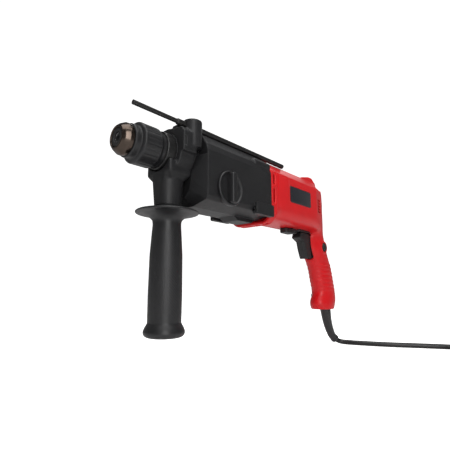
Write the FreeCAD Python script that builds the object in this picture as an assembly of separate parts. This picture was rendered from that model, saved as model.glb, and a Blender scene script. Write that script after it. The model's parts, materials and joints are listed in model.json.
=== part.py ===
"""SDS-plus rotary hammer with a swivelling side handle, depth rod and coiled mains lead.

Everything is laid out from the middle of the tool socket's mouth: X runs back along the
spindle, Y runs to the operator's right (the mode knob is on the -Y side), Z is up.
Each solid is moved at the end so that the origin is the middle of the pistol grip.
"""
import FreeCAD, Part
import math
import os

V = FreeCAD.Vector
os.makedirs("parts", exist_ok=True)

# ---------------------------------------------------------------- frame
GRIP_X = 399.0             # middle of the pistol grip, the origin of the finished part
GRIP_Z = -130.0

# ---------------------------------------------------------------- clearances
FIT = 0.05                 # radial running clearance of a shaft in its bore
SWEEP = 0.3                # gap between curved faces that turn past each other
GAP = 0.4                  # gap round buttons and sliding covers

# ---------------------------------------------------------------- chuck and spindle
SOCKET_R = 5.0             # SDS-plus shank bore
SOCKET_END = 60.0          # bottom of the shank bore
HOLDER_START = 3.0
HOLDER_R = 11.4
HOLDER_END = 57.0
NOSE_FACE_R = 12.0
NOSE_BREAK_R = 13.9        # where the nose's taper changes slope
NOSE_R = 16.3
NOSE_CONE = 7.0            # length of the nose's taper
NOSE_BREAK = 2.6
NOSE_END = 11.0
NOSE_LIP = 1.5             # radial width of the flat rim round the dust cap
NOSE_SKIN = 0.6
CAP_R = 9.6
CAP_DEPTH = 2.4
SLEEVE_START = 11.4
SLEEVE_FRONT_R = 17.3
SLEEVE_STEP = 18.5
SLEEVE_R = 21.3
SLEEVE_TAPER = 40.0
SLEEVE_TAIL_R = 18.6
SLEEVE_TAIL = 43.0
SLEEVE_END = 51.5
SLEEVE_WALL = 1.8
SLEEVE_TRAVEL = 4.0
SLEEVE_SPRING_X = 36.0     # ledge in the sleeve that the spring pushes
COLLAR_START = 47.6
COLLAR_END = 57.6
COLLAR_R = 20.5
COLLAR_FLOOR = 1.6
BALL_R = 3.5
BALL_X = 27.0
BALL_COUNT = 2
BALL_OUT = 0.3             # how far the balls stand clear of the shank bore
SPRING_R = 13.6            # chuck spring, to the middle of the wire
SPRING_WIRE_R = 0.8
SPRING_TURNS = 4.0
SPINDLE_NECK_R = 13.0
SPINDLE_NECK_END = 88.0
HAMMER_TUBE_R = 16.0
HAMMER_BORE_R = 13.0
HAMMER_TUBE_END = 148.0
TUBE_WALL = 3.0            # shoulder wall between the bolt's bore and the hammer tube

# ---------------------------------------------------------------- hammer mechanism
BOLT_R = 7.9
BOLT_START = 66.0
BOLT_END = 92.0
BOLT_PLAY = 4.0            # free length of the bolt's bore ahead of and behind it
STRIKER_START = 96.0
STRIKER_LENGTH = 14.0
STRIKER_GROOVE = 1.2
PISTON_START = 124.0
PISTON_FORK = 158.0
PISTON_END = 177.0
PISTON_CUP_R = 9.0
PISTON_CUP_DEPTH = 20.0
EAR_IN = 6.5
EAR_OUT = 10.8
FORK_HALF = 8.0            # half height of the piston's fork
PIN_X = 169.0
PIN_R = 5.5
FINGER_R = 3.2
FINGER_PLAY = 0.45
FINGER_TOP = 5.0

# ---------------------------------------------------------------- gear train
SPINDLE_TEETH = 48
PINION_TEETH = 14
SPINDLE_MODULE = 1.0
MOTOR_TEETH = 10
LARGE_TEETH = 46
MOTOR_MODULE = 0.6
LAY_Z = -SPINDLE_MODULE * (SPINDLE_TEETH + PINION_TEETH) / 2
MOTOR_Z = LAY_Z + MOTOR_MODULE * (MOTOR_TEETH + LARGE_TEETH) / 2
SPINDLE_GEAR_X = 126.0
SPINDLE_GEAR_WIDTH = 10.0
LARGE_GEAR_X = 186.0
LARGE_GEAR_WIDTH = 8.0
LAY_R = 6.0
LAY_JOURNAL_R = 3.0
LAY_BEARING_R = 6.5
LAY_FRONT = 104.0
DRUM_R = 11.0
DRUM_HALF = 7.0
RING_R = 16.0
RING_HALF = 5.0

# ---------------------------------------------------------------- gear housing
WALL = 3.5
FRONT_SECTION = [           # half of the blunt front face, from the bottom to the top
    (8.0, -47.0), (15.0, -38.0), (17.5, -25.5), (17.5, -21.0), (15.0, -12.0), (10.0, -6.0),
    (5.0, -4.0)]
NECK_R = 21.5
NECK_START = 58.0
SPINDLE_BEARING_R = 18.0
BEARING_X0 = 61.0
BEARING_X1 = 71.0
SEAL_X1 = 75.5
NECK_STEP_X = 76.0         # end of the seat for the spindle bearing and its seal
BODY_START = 80.5
BODY_SHOULDER = 88.5
LUG_PATH_X = 88.2          # the upper front corner is cut back for the swinging rod lug
JOINT_X = 204.0            # where the black and the red castings meet
BODY_HALF = 36.0
BODY_TOP = 29.0
BODY_TOP_HALF = 12.0
BODY_BEVEL_Y = 25.0
BODY_BEVEL_Z = 23.5
BODY_SIDE_TOP = 4.0
BODY_SIDE_BOTTOM = -46.0
BODY_CHINE_Y = 33.5
BODY_CHINE_Z = -50.5
BODY_BOTTOM = -55.5
BODY_BOTTOM_HALF = 12.0
SUMP_START = 156.0
SUMP_END = 200.0
SUMP_SLOPE = 9.0
SUMP_Z = -60.5
SUMP_HALF = 12.0
PAD_X0 = 168.0
PAD_Z0 = -54.5
PAD_Z1 = -39.5
PAD_PROUD = 3.5
WEB_X0 = 104.0
WEB_X1 = 112.0
BUSH_R = 20.0
PLATE_X0 = 196.0
PLATE_X1 = 206.0
SCREW_R = 1.9
SCREW_HEAD_R = 3.3
SCREW_HEAD_LONG = 3.0
SCREW_SUNK = 1.0           # how far a clamshell screw sits below the surface
BOSS_R = 4.2
TOP_SCREW_Y = 27.5
TOP_SCREW_Z = 12.5
LOW_SCREW_Y = 33.0
LOW_SCREW_Z = -47.5

SWELL_X = 170.0            # swellings on the upper bevels hold the top screws
SWELL_R = 7.2
SWELL_NOSE = 3.0
SCREW_SEAT = 176.0
SCREW_TIP = 214.0
LONG_SCREWS = [(-TOP_SCREW_Y, TOP_SCREW_Z), (TOP_SCREW_Y, TOP_SCREW_Z),
               (-LOW_SCREW_Y, LOW_SCREW_Z), (LOW_SCREW_Y, LOW_SCREW_Z)]

# ---------------------------------------------------------------- mode knob
KNOB_X = 122.5
KNOB_Z = -33.0
KNOB_R = 20.0
KNOB_THICK = 5.0
KNOB_BAR_WIDE = 9.0
KNOB_BAR_PROUD = 5.5
KNOB_BAR_SHORT = 2.5       # how far each end of the bar stops inside the rim
KNOB_SHAFT_R = 5.0
KNOB_PIN_R = 2.4
KNOB_PIN_OFF = 2.0         # throw of the selector pin

# ---------------------------------------------------------------- motor
SHAFT_R = 4.0
SHAFT_END = 344.0
FRONT_BEARING_R = 9.5
REAR_BEARING_R = 8.0
REAR_BEARING_X = 334.0
BEARING_WIDE = 8.0
SEAT_HALF = 20.0           # block that holds the rear bearing
SEAT_TALL = 14.0
POST_TALL = 4.0
CORE_X0 = 232.0
CORE_X1 = 282.0
CORE_R = 18.3
CORE_SLOTS = 12
STATOR_GAP = 0.6
STATOR_R = 29.5
STATOR_FLAT = 26.5
COIL_LONG = 8.0
COMMUTATOR_X0 = 297.0
COMMUTATOR_X1 = 317.0
COMMUTATOR_R = 12.0
COMMUTATOR_BARS = 24
BRUSH_X = 307.0
BRUSH_WIDE = 8.0
BRUSH_THICK = 6.0
BRUSH_LONG = 12.0
HOLDER_WALL = 1.0
FAN_X0 = 212.0
FAN_X1 = 224.0
FAN_R = 27.0
FAN_BLADES = 11
BAFFLE_X = 226.0
BAFFLE_THICK = 2.0
BAFFLE_EYE_R = 21.0

# ---------------------------------------------------------------- motor housing and grip
SHELL = 3.0
BARREL_HALF = 36.0
BARREL_TOP = 30.0
BARREL_TOP_HALF = 10.0
BARREL_BEVEL_Y = 18.0
BARREL_BEVEL_Z = 27.0
BARREL_SIDE_TOP = 8.0
BARREL_SIDE_BOTTOM = -44.0
BARREL_BOTTOM = -54.0
BARREL_BOTTOM_HALF = 24.0
TAPER_LONG = 32.0
TAPER_IN = 8.0             # drawn in this far on each side over the taper
BARREL_SOFT = [14.0, 14.0, 6.0, 5.0, 6.0]   # corner radii from the bottom to the top
FLANGE_END = 218.0
FLANGE_DROP = 6.5
TAPER_X = 322.0            # the barrel draws in towards the grip behind here
SHOULDER_X0 = 326.0        # the upper rear corners are bevelled from here to the hump
SHOULDER_Z = 11.0
TAIL_X = 388.0
TAIL_HALF = 14.0
HUMP_START = 314.0
HUMP_TOP = 34.0
HUMP_HALF = 18.0
HUMP_REAR = 357.0
GRIP_BOTTOM = -180.0
LEVER_X0 = 284.0
LEVER_X1 = 311.5
LEVER_HALF = 8.0
LEVER_TALL = 7.2
LEVER_PIN_X = 306.0
LEVER_PIN_R = 3.5
TRIGGER_HALF = 7.5
TRIGGER_TRAVEL = 6.0
TRIGGER_REAR = 355.0
TRIGGER_TOP = -57.5
TRIGGER_LOW = -98.5
TRIGGER_POCKET_X = 330.0
FINGER_HOLLOW_R = 15.0
FINGER_HOLLOW_X = 321.5
FINGER_HOLLOW_Z = -87.0
STRAP_X0 = 370.0
STRAP_TOP = -18.0
STRAP_LOW = -66.0
STRAP_HALF = 9.0
STRAP_THICK = 1.4
REAR_PAD_LOW = 16.0
REAR_PAD_TOP = 27.5
REAR_PAD_THICK = 4.5
LOCK_X = 381.0
LOCK_Z = -78.0
LOCK_R = 7.0
LOCK_FACE = -19.5
LOCK_BOSS_R = 10.0
LOCK_BOSS_FACE = -18.3
TRIM_X0 = 313.6            # black trim between the barrel and the trigger
TRIM_X1 = 352.0
TRIM_HALF = 10.0
SWITCH_X0 = 364.0
SWITCH_X1 = 388.0
SWITCH_HALF = 8.5
SWITCH_LOW = -97.0
SWITCH_TOP = -62.0
ANCHOR_X0 = 396.0          # bar that grips the lead inside the grip
ANCHOR_X1 = 414.0
ANCHOR_HALF = 6.0
ANCHOR_LOW = -158.0
ANCHOR_TOP = -152.0
LOCK_LONG = 7.0
PLATE_LONG = 57.0
PLATE_TALL = 23.5
PLATE_START = 250.0
PLATE_MID_Z = -14.0
PLATE_THICK = 1.4
PLATE_SUNK = 0.8
SLOT_X0 = 208.5
SLOT_X1 = 213.5
SIDE_SLOTS = [(-10.0, 6.0), (-34.0, -14.0)]
UNDER_SLOTS = [(3.0, 12.0), (16.0, 25.0)]
VENT_X0 = 333.0
VENT_X1 = 349.0
VENT_TOP = -6.0
VENT_PITCH = 4.6
VENT_TALL = 2.4
VENT_COUNT = 5

# ---------------------------------------------------------------- side handle and depth rod
HANDLE_X = 64.0
CLAMP_X0 = 58.6
CLAMP_X1 = 79.5
CLAMP_R = 27.0
FOOT_X0 = 50.0             # the foot reaches forward under the chuck
FOOT_HALF = 20.0
FOOT_TOP = -12.0
FOOT_BOTTOM = -24.5
FOOT_CHAMFER = 6.5
FOOT_INSET = 4.5           # how far the foot draws in over that chamfer
THROAT_R = 17.0
STEM_R = 14.0
STEM_BOTTOM = -58.0
STUD_R = 4.0
STUD_END = -112.0
STUD_TOP = -30.0
GUARD_Z = -65.0
GUARD_R = 33.5
GUARD_THICK = 3.2
HUB_R = 16.5
HANDLE_TOP_R = 14.8
HANDLE_MID_R = 17.25
HANDLE_BULB_R = 21.25
HANDLE_BOTTOM = -190.8
LUG_X = 77.0
LUG_Y = -23.0
LUG_R = 10.5
LUG_BOTTOM = 4.0
LUG_TOP = 34.5
CHEEK_TOP = 24.0           # flat cheek on the band, below the depth rod
CHEEK_LOW = -4.0
CHEEK_FAR_Y = -31.0
CHEEK_NEAR_Y = -12.0
CHEEK_SLOPE = 6.0
WEB_START = 60.5           # web that ties the lug to the front of the band
WEB_FAR_Y = -9.0
WEB_LOW = 12.0
WEB_TOP = 28.6
ROD_Y = -21.5
ROD_Z = 29.0
ROD_START = 3.5
ROD_LONG = 250.0
ROD_THIN_R = 2.4
ROD_THICK_R = 3.3
ROD_STEP = 56.0

# ---------------------------------------------------------------- mains lead
CORD_R = 4.0
LEAD_AND_TAIL = 280.0      # what runs outside the coil
CORD_LENGTH = 2900.0       # the whole lead; most of it lies in the coil
RELIEF = [(408.5, 0.0, -176.0, 9.2), (409.8, 0.0, -186.0, 9.0), (413.0, 0.0, -198.5, 8.3),
          (418.3, 0.0, -211.0, 7.7), (425.2, -0.5, -222.8, 7.1), (433.5, -2.5, -231.8, 6.5)]
LEAD_ROUTE = [(433.5, -2.5, -231.8), (439.5, -6.0, -236.0), (444.5, -14.0, -237.5),
              (447.7, -28.3, -237.5), (455.5, -51.0, -237.5), (470.0, -85.0, -237.5),
              (491.0, -121.0, -237.5), (510.0, -157.0, -237.5), (524.5, -190.0, -237.5),
              (533.0, -212.0, -237.5)]
TAIL_ROUTE = [(456.0, -297.5, -237.4), (446.0, -298.2, -236.0), (435.0, -297.6, -232.6),
              (424.0, -296.8, -227.6), (413.0, -296.5, -224.6)]
COIL_X = 480.0
COIL_Y = -240.0
COIL_R = 61.0
COIL_HOLE_R = 35.0
COIL_BOTTOM = -240.0
COIL_TALL = 24.0
PLUG_R = 16.5
PLUG_LONG = 38.0
PLUG_NECK = 16.0
PLUG_NECK_R = 5.5
TIE_WIDE = 8.0
TIE_GAP = 0.3
TIE_THICK = 1.2
TIE_TURN = -60.0           # where round the coil the tie sits
PLUG_PIN_R = 2.4
PLUG_PIN_LONG = 19.0
PLUG_PIN_PITCH = 19.0


# ================================================================ helpers
def save(shape, node):
    """Move the solid into the part's own frame and write it."""
    moved = shape.copy()
    moved.translate(V(-GRIP_X, 0, -GRIP_Z))
    moved = moved.removeSplitter()
    moved.exportStep("parts/%s.step" % node)
    print("%-20s %2d solid(s)  %9.1f mm3  valid %s"
          % (node, len(moved.Solids), moved.Volume, moved.isValid()))


def group(shapes):
    return Part.makeCompound(shapes)


def join(shapes):
    return shapes[0].multiFuse(shapes[1:])


def block(x0, x1, y0, y1, z0, z1):
    return Part.makeBox(x1 - x0, y1 - y0, z1 - z0, V(x0, y0, z0))


def rod_x(r, x0, x1, y=0.0, z=0.0):
    return Part.makeCylinder(r, x1 - x0, V(x0, y, z), V(1, 0, 0))


def rod_y(r, y0, y1, x, z):
    return Part.makeCylinder(r, y1 - y0, V(x, y0, z), V(0, 1, 0))


def rod_z(r, z0, z1, x, y=0.0):
    return Part.makeCylinder(r, z1 - z0, V(x, y, z0), V(0, 0, 1))


def ring_x(r_out, r_in, x0, x1, y=0.0, z=0.0):
    return rod_x(r_out, x0, x1, y, z).cut(rod_x(r_in, x0 - 1, x1 + 1, y, z))


def turned_x(profile, y=0.0, z=0.0):
    """A solid of revolution about a line along X; the profile is (x, radius) pairs."""
    points = [V(x, y, z + r) for x, r in profile]
    face = Part.Face(Part.makePolygon(points + points[:1]))
    return face.revolve(V(0, y, z), V(1, 0, 0), 360)


def turned_z(profile, x, y=0.0):
    points = [V(x + r, y, z) for z, r in profile]
    face = Part.Face(Part.makePolygon(points + points[:1]))
    return face.revolve(V(x, y, 0), V(0, 0, 1), 360)


def rounded(points, radius):
    """A closed outline through flat points, its corners rounded to one radius or to a list."""
    edges = []
    ends = []
    count = len(points)
    for i in range(count):
        before, corner, after = points[i - 1], points[i], points[(i + 1) % count]
        to_before = (before - corner).normalize()
        to_after = (after - corner).normalize()
        half = to_before.getAngle(to_after) / 2
        wanted = radius[i] if isinstance(radius, list) else radius
        reach = min(wanted / math.tan(half),
                    0.48 * (before - corner).Length, 0.48 * (after - corner).Length)
        middle = (to_before + to_after).normalize()
        bulge = reach * math.tan(half)
        top = corner + middle * (bulge / math.sin(half) - bulge)
        ends.append((corner + to_before * reach, top, corner + to_after * reach))
    for i in range(count):
        start, top, end = ends[i]
        edges.append(Part.Arc(start, top, end).toShape())
        edges.append(Part.LineSegment(end, ends[(i + 1) % count][0]).toShape())
    return Part.Wire(edges)


def prism_x(outline_yz, x0, x1, radius=2.0):
    wire = rounded([V(x0, y, z) for y, z in outline_yz], radius)
    return Part.Face(wire).extrude(V(x1 - x0, 0, 0))


def prism_y(outline_xz, y0, y1, radius=2.0):
    wire = rounded([V(x, y0, z) for x, z in outline_xz], radius)
    return Part.Face(wire).extrude(V(0, y1 - y0, 0))


def prism_z(outline_xy, z0, z1, radius=2.0):
    wire = rounded([V(x, y, z0) for x, y in outline_xy], radius)
    return Part.Face(wire).extrude(V(0, 0, z1 - z0))


def both_sides(half_outline):
    """Mirror the +Y half of a section, listed from the bottom to the top."""
    return half_outline + [(-y, z) for y, z in reversed(half_outline)]


def coil_spring(radius, wire_r, turns, length, start, direction):
    """A round-wire compression spring, its axis from start along direction."""
    helix = Part.makeHelix(length / turns, length, radius)
    section = Part.Wire(Part.makeCircle(wire_r, V(radius, 0, 0), V(0, 1, 0)))
    spring = Part.Wire(helix.Edges).makePipeShell([section], True, True)
    turn = FreeCAD.Rotation(V(0, 0, 1), direction)
    spring.Placement = FreeCAD.Placement(start, turn)
    return spring


def involute(angle):
    return math.tan(angle) - angle


def gear(module, teeth, x0, width, y, z, phase, backlash=0.16, addendum=0.8):
    """A spur gear with involute flanks; phase turns it, in tooth pitches."""
    pitch_r = module * teeth / 2
    base_r = pitch_r * math.cos(math.radians(20))
    tip_r = pitch_r + addendum * module
    root_r = pitch_r - 1.2 * module
    half = math.pi / (2 * teeth) - backlash * module / (2 * pitch_r)
    half = half + involute(math.radians(20))
    start_r = max(base_r, root_r)
    flank = []
    for step in range(4):
        r = start_r + (tip_r - start_r) * step / 3
        flank.append((r, half - involute(math.acos(min(1.0, base_r / r)))))
    flank = [(root_r, flank[0][1])] + flank if root_r < start_r - 0.01 else flank
    points = []
    for tooth in range(teeth):
        middle = 2 * math.pi * (tooth + phase) / teeth
        side = [(r, middle - a) for r, a in flank] + [(r, middle + a) for r, a in reversed(flank)]
        points += [V(x0, y + r * math.sin(a), z + r * math.cos(a)) for r, a in side]
    return Part.Face(Part.makePolygon(points + points[:1])).extrude(V(width, 0, 0))


def tube_along(route, radius, name):
    """A tube along straight runs joined by tangent arcs, as large as the runs allow."""
    points = [V(*p) for p in route]
    edges = []
    here = points[0]
    length = 0.0
    radii = []
    for i in range(1, len(points) - 1):
        into = points[i] - points[i - 1]
        out = points[i + 1] - points[i]
        turn = into.getAngle(out)
        reach = 0.45 * min(into.Length, out.Length)
        bend = reach / math.tan(turn / 2)
        start = points[i] - into.normalize() * reach
        end = points[i] + out.normalize() * reach
        inward = ((start + end) * 0.5 - points[i]).normalize()
        top = points[i] + inward * (bend / math.cos(turn / 2) - bend)
        edges.append(Part.LineSegment(here, start).toShape())
        edges.append(Part.Arc(start, top, end).toShape())
        radii.append(bend)
        here = end
    edges.append(Part.LineSegment(here, points[-1]).toShape())
    path = Part.Wire(edges)
    first = (points[1] - points[0]).normalize()
    section = Part.Wire(Part.makeCircle(radius, points[0], first))
    tube = path.makePipeShell([section], True, True)
    length = path.Length
    print("%s bend radii %s" % (name, " ".join("%.0f" % r for r in radii)))
    print("%s length %.1f, volume %.1f, section times length %.1f"
          % (name, length, tube.Volume, math.pi * radius ** 2 * length))
    return tube


def lofted(sections, make):
    return Part.makeLoft([make(*s) for s in sections], True, False)


# ================================================================ chuck and spindle
def make_spindle():
    outer = turned_x([(HOLDER_START, SOCKET_R), (HOLDER_START, HOLDER_R), (HOLDER_END, HOLDER_R),
                      (HOLDER_END, SPINDLE_NECK_R), (SPINDLE_NECK_END, SPINDLE_NECK_R),
                      (SPINDLE_NECK_END, HAMMER_TUBE_R), (HAMMER_TUBE_END, HAMMER_TUBE_R),
                      (HAMMER_TUBE_END, HAMMER_BORE_R), (SPINDLE_NECK_END + TUBE_WALL, HAMMER_BORE_R),
                      (SPINDLE_NECK_END + TUBE_WALL, BOLT_R + FIT), (BOLT_START - BOLT_PLAY, BOLT_R + FIT),
                      (BOLT_START - BOLT_PLAY, SOCKET_R)])
    windows = [rod_z(BALL_R + FIT, 0, HOLDER_R + 1, BALL_X),
               rod_z(BALL_R + FIT, -HOLDER_R - 1, 0, BALL_X)]
    save(outer.cut(group(windows)), "spindle_tube")
    teeth = gear(SPINDLE_MODULE, SPINDLE_TEETH, SPINDLE_GEAR_X, SPINDLE_GEAR_WIDTH, 0, 0, 0.5)
    save(teeth.cut(rod_x(HAMMER_TUBE_R, SPINDLE_GEAR_X - 1, SPINDLE_GEAR_X + 20)), "spindle_gear")


def make_chuck():
    nose = turned_x([(0, NOSE_FACE_R - NOSE_LIP), (0, NOSE_FACE_R), (NOSE_BREAK, NOSE_BREAK_R),
                     (NOSE_CONE, NOSE_R), (NOSE_END, NOSE_R), (NOSE_END, HOLDER_R + FIT),
                     (HOLDER_START, HOLDER_R + FIT), (HOLDER_START, CAP_R + FIT),
                     (NOSE_SKIN, CAP_R + FIT), (NOSE_SKIN, NOSE_FACE_R - NOSE_LIP)])
    save(nose, "chuck_nose")
    cap = turned_x([(NOSE_SKIN, SOCKET_R + SWEEP), (NOSE_SKIN, CAP_R), (NOSE_SKIN + CAP_DEPTH, CAP_R),
                    (NOSE_SKIN + CAP_DEPTH, SOCKET_R + SWEEP)])
    save(cap, "dust_cap")
    r_in = HOLDER_R + FIT
    ball_top = SOCKET_R + BALL_OUT + 2 * BALL_R + SWEEP
    bush_end = BALL_X + BALL_R + 1.0
    bush_start = BALL_X - BALL_R - SWEEP - SLEEVE_TRAVEL
    sleeve = turned_x([(SLEEVE_START, r_in), (SLEEVE_START, SLEEVE_FRONT_R),
                       (SLEEVE_STEP, SLEEVE_FRONT_R), (SLEEVE_STEP + 1.5, SLEEVE_R - 0.5),
                       (SLEEVE_STEP + 3, SLEEVE_R), (SLEEVE_TAPER, SLEEVE_R),
                       (SLEEVE_TAIL, SLEEVE_TAIL_R), (SLEEVE_END, SLEEVE_TAIL_R),
                       (SLEEVE_END, SLEEVE_TAIL_R - SLEEVE_WALL),
                       (SLEEVE_SPRING_X, SLEEVE_TAIL_R - SLEEVE_WALL), (SLEEVE_SPRING_X, r_in),
                       (bush_end, r_in), (bush_end, ball_top), (bush_start, ball_top),
                       (bush_start, r_in)])
    save(sleeve, "chuck_sleeve")
    bore = SLEEVE_TAIL_R + SWEEP
    collar = turned_x([(COLLAR_START, bore), (COLLAR_START, COLLAR_R - 0.6),
                       (COLLAR_START + 0.8, COLLAR_R), (COLLAR_END, COLLAR_R),
                       (COLLAR_END, HOLDER_R if COLLAR_END < HOLDER_END else SPINDLE_NECK_R),
                       (COLLAR_END - COLLAR_FLOOR, SPINDLE_NECK_R),
                       (COLLAR_END - COLLAR_FLOOR, bore)])
    collar = collar.cut(rod_x(SPINDLE_NECK_R, HOLDER_END, COLLAR_END + 1))
    save(collar.cut(rod_x(HOLDER_R, 0, COLLAR_END + 1)), "chuck_collar")
    balls = []
    for i in range(BALL_COUNT):
        side = 1 - 2 * i
        balls.append(Part.makeSphere(BALL_R, V(BALL_X, 0, side * (SOCKET_R + BALL_OUT + BALL_R))))
    save(group(balls), "locking_balls")
    start = SLEEVE_SPRING_X + SWEEP + SPRING_WIRE_R
    length = COLLAR_END - COLLAR_FLOOR - SPRING_WIRE_R - SWEEP - start
    save(coil_spring(SPRING_R, SPRING_WIRE_R, SPRING_TURNS, length, V(start, 0, 0), V(1, 0, 0)),
         "chuck_spring")


def make_hammer():
    bolt = turned_x([(BOLT_START, 0), (BOLT_START, BOLT_R - 1.5), (BOLT_START + 1.5, BOLT_R),
                     (BOLT_END - 1, BOLT_R), (BOLT_END, BOLT_R - 1), (BOLT_END, 0)])
    save(bolt, "impact_bolt")
    r = HAMMER_BORE_R - FIT
    end = STRIKER_START + STRIKER_LENGTH
    groove = end - 5.5
    striker = turned_x([(STRIKER_START, 0), (STRIKER_START, 6.5), (STRIKER_START + 3, 6.5),
                        (STRIKER_START + 3, r), (groove, r), (groove, r - STRIKER_GROOVE * 2),
                        (groove + 3, r - STRIKER_GROOVE * 2), (groove + 3, r), (end, r), (end, 0)])
    save(striker, "striker")
    piston = turned_x([(PISTON_START, PISTON_CUP_R), (PISTON_START, r), (PISTON_END, r),
                       (PISTON_END, 0), (PISTON_START + PISTON_CUP_DEPTH, 0),
                       (PISTON_START + PISTON_CUP_DEPTH, PISTON_CUP_R)])
    slot = block(PISTON_FORK, PISTON_END + 1, -EAR_IN, EAR_IN, -20, 20)
    flats = [block(PISTON_FORK, PISTON_END + 1, EAR_OUT, 20, -20, 20),
             block(PISTON_FORK, PISTON_END + 1, -20, -EAR_OUT, -20, 20),
             block(PISTON_FORK, PISTON_END + 1, -20, 20, FORK_HALF, 20),
             block(PISTON_FORK, PISTON_END + 1, -20, 20, -20, -FORK_HALF)]
    piston = piston.cut(group([slot] + flats)).cut(rod_y(PIN_R + FIT, -20, 20, PIN_X, 0))
    save(piston, "piston")
    pin = rod_y(PIN_R, -EAR_OUT, EAR_OUT, PIN_X, 0)
    save(pin.cut(rod_z(FINGER_R + FINGER_PLAY, -10, 10, PIN_X)), "piston_pin")


def make_countershaft():
    shaft = turned_x([(LAY_FRONT, 0), (LAY_FRONT, LAY_JOURNAL_R), (WEB_X1 + 0.5, LAY_JOURNAL_R),
                      (WEB_X1 + 0.5, LAY_R - 1), (SPINDLE_GEAR_X, LAY_R - 1.5),
                      (SPINDLE_GEAR_X + SPINDLE_GEAR_WIDTH, LAY_R - 1.5),
                      (SPINDLE_GEAR_X + SPINDLE_GEAR_WIDTH, LAY_R), (PLATE_X0 - 0.5, LAY_R),
                      (PLATE_X0 - 0.5, LAY_JOURNAL_R), (PLATE_X0 + 7, LAY_JOURNAL_R),
                      (PLATE_X0 + 7, 0)], 0, LAY_Z)
    save(shaft, "countershaft")
    small = gear(SPINDLE_MODULE, PINION_TEETH, SPINDLE_GEAR_X - 1, SPINDLE_GEAR_WIDTH + 2, 0, LAY_Z, 0.0)
    hole = rod_x(LAY_R - 1.5, SPINDLE_GEAR_X - 2, SPINDLE_GEAR_X + SPINDLE_GEAR_WIDTH + 2, 0, LAY_Z)
    hole = join([hole, rod_x(LAY_R - 1, SPINDLE_GEAR_X - 2, SPINDLE_GEAR_X, 0, LAY_Z),
                 rod_x(LAY_R, SPINDLE_GEAR_X + SPINDLE_GEAR_WIDTH, SPINDLE_GEAR_X + 20, 0, LAY_Z)])
    small = small.cut(hole)
    save(max(small.Solids, key=lambda s: s.Volume), "countershaft_pinion")
    large = gear(MOTOR_MODULE, LARGE_TEETH, LARGE_GEAR_X, LARGE_GEAR_WIDTH, 0, LAY_Z, 0.5, 0.2, 0.6)
    save(large.cut(rod_x(LAY_R, LARGE_GEAR_X - 1, LARGE_GEAR_X + 20, 0, LAY_Z)), "countershaft_gear")
    drum = Part.makeSphere(DRUM_R, V(PIN_X, 0, LAY_Z))
    drum = drum.common(rod_x(DRUM_R + 1, PIN_X - DRUM_HALF, PIN_X + DRUM_HALF, 0, LAY_Z))
    save(drum.cut(rod_x(LAY_R, PIN_X - 20, PIN_X + 20, 0, LAY_Z)), "wobble_drum")
    ring = rod_x(RING_R, PIN_X - RING_HALF, PIN_X + RING_HALF, 0, LAY_Z)
    ring = join([ring, rod_z(FINGER_R, LAY_Z + RING_R - 2, FINGER_TOP, PIN_X)])
    save(ring.cut(Part.makeSphere(DRUM_R + SWEEP, V(PIN_X, 0, LAY_Z))), "wobble_ring")


# ================================================================ gear housing
def gear_outline(inset):
    half = [(BODY_BOTTOM_HALF - inset * 0.1, BODY_BOTTOM + inset),
            (BODY_CHINE_Y - inset * 0.8, BODY_CHINE_Z + inset * 0.8),
            (BODY_HALF - inset, BODY_SIDE_BOTTOM + inset * 0.4),
            (BODY_HALF - inset, BODY_SIDE_TOP - inset * 0.2),
            (BODY_HALF - 3 - inset, BODY_SIDE_TOP + 8 - inset * 0.4),
            (BODY_BEVEL_Y - inset * 0.7, BODY_BEVEL_Z - inset * 0.8),
            (BODY_TOP_HALF - inset * 0.3, BODY_TOP - inset)]
    return both_sides(half)


def gear_wire(x, inset):
    return rounded([V(x, y, z) for y, z in gear_outline(inset)], 3.0)


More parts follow.
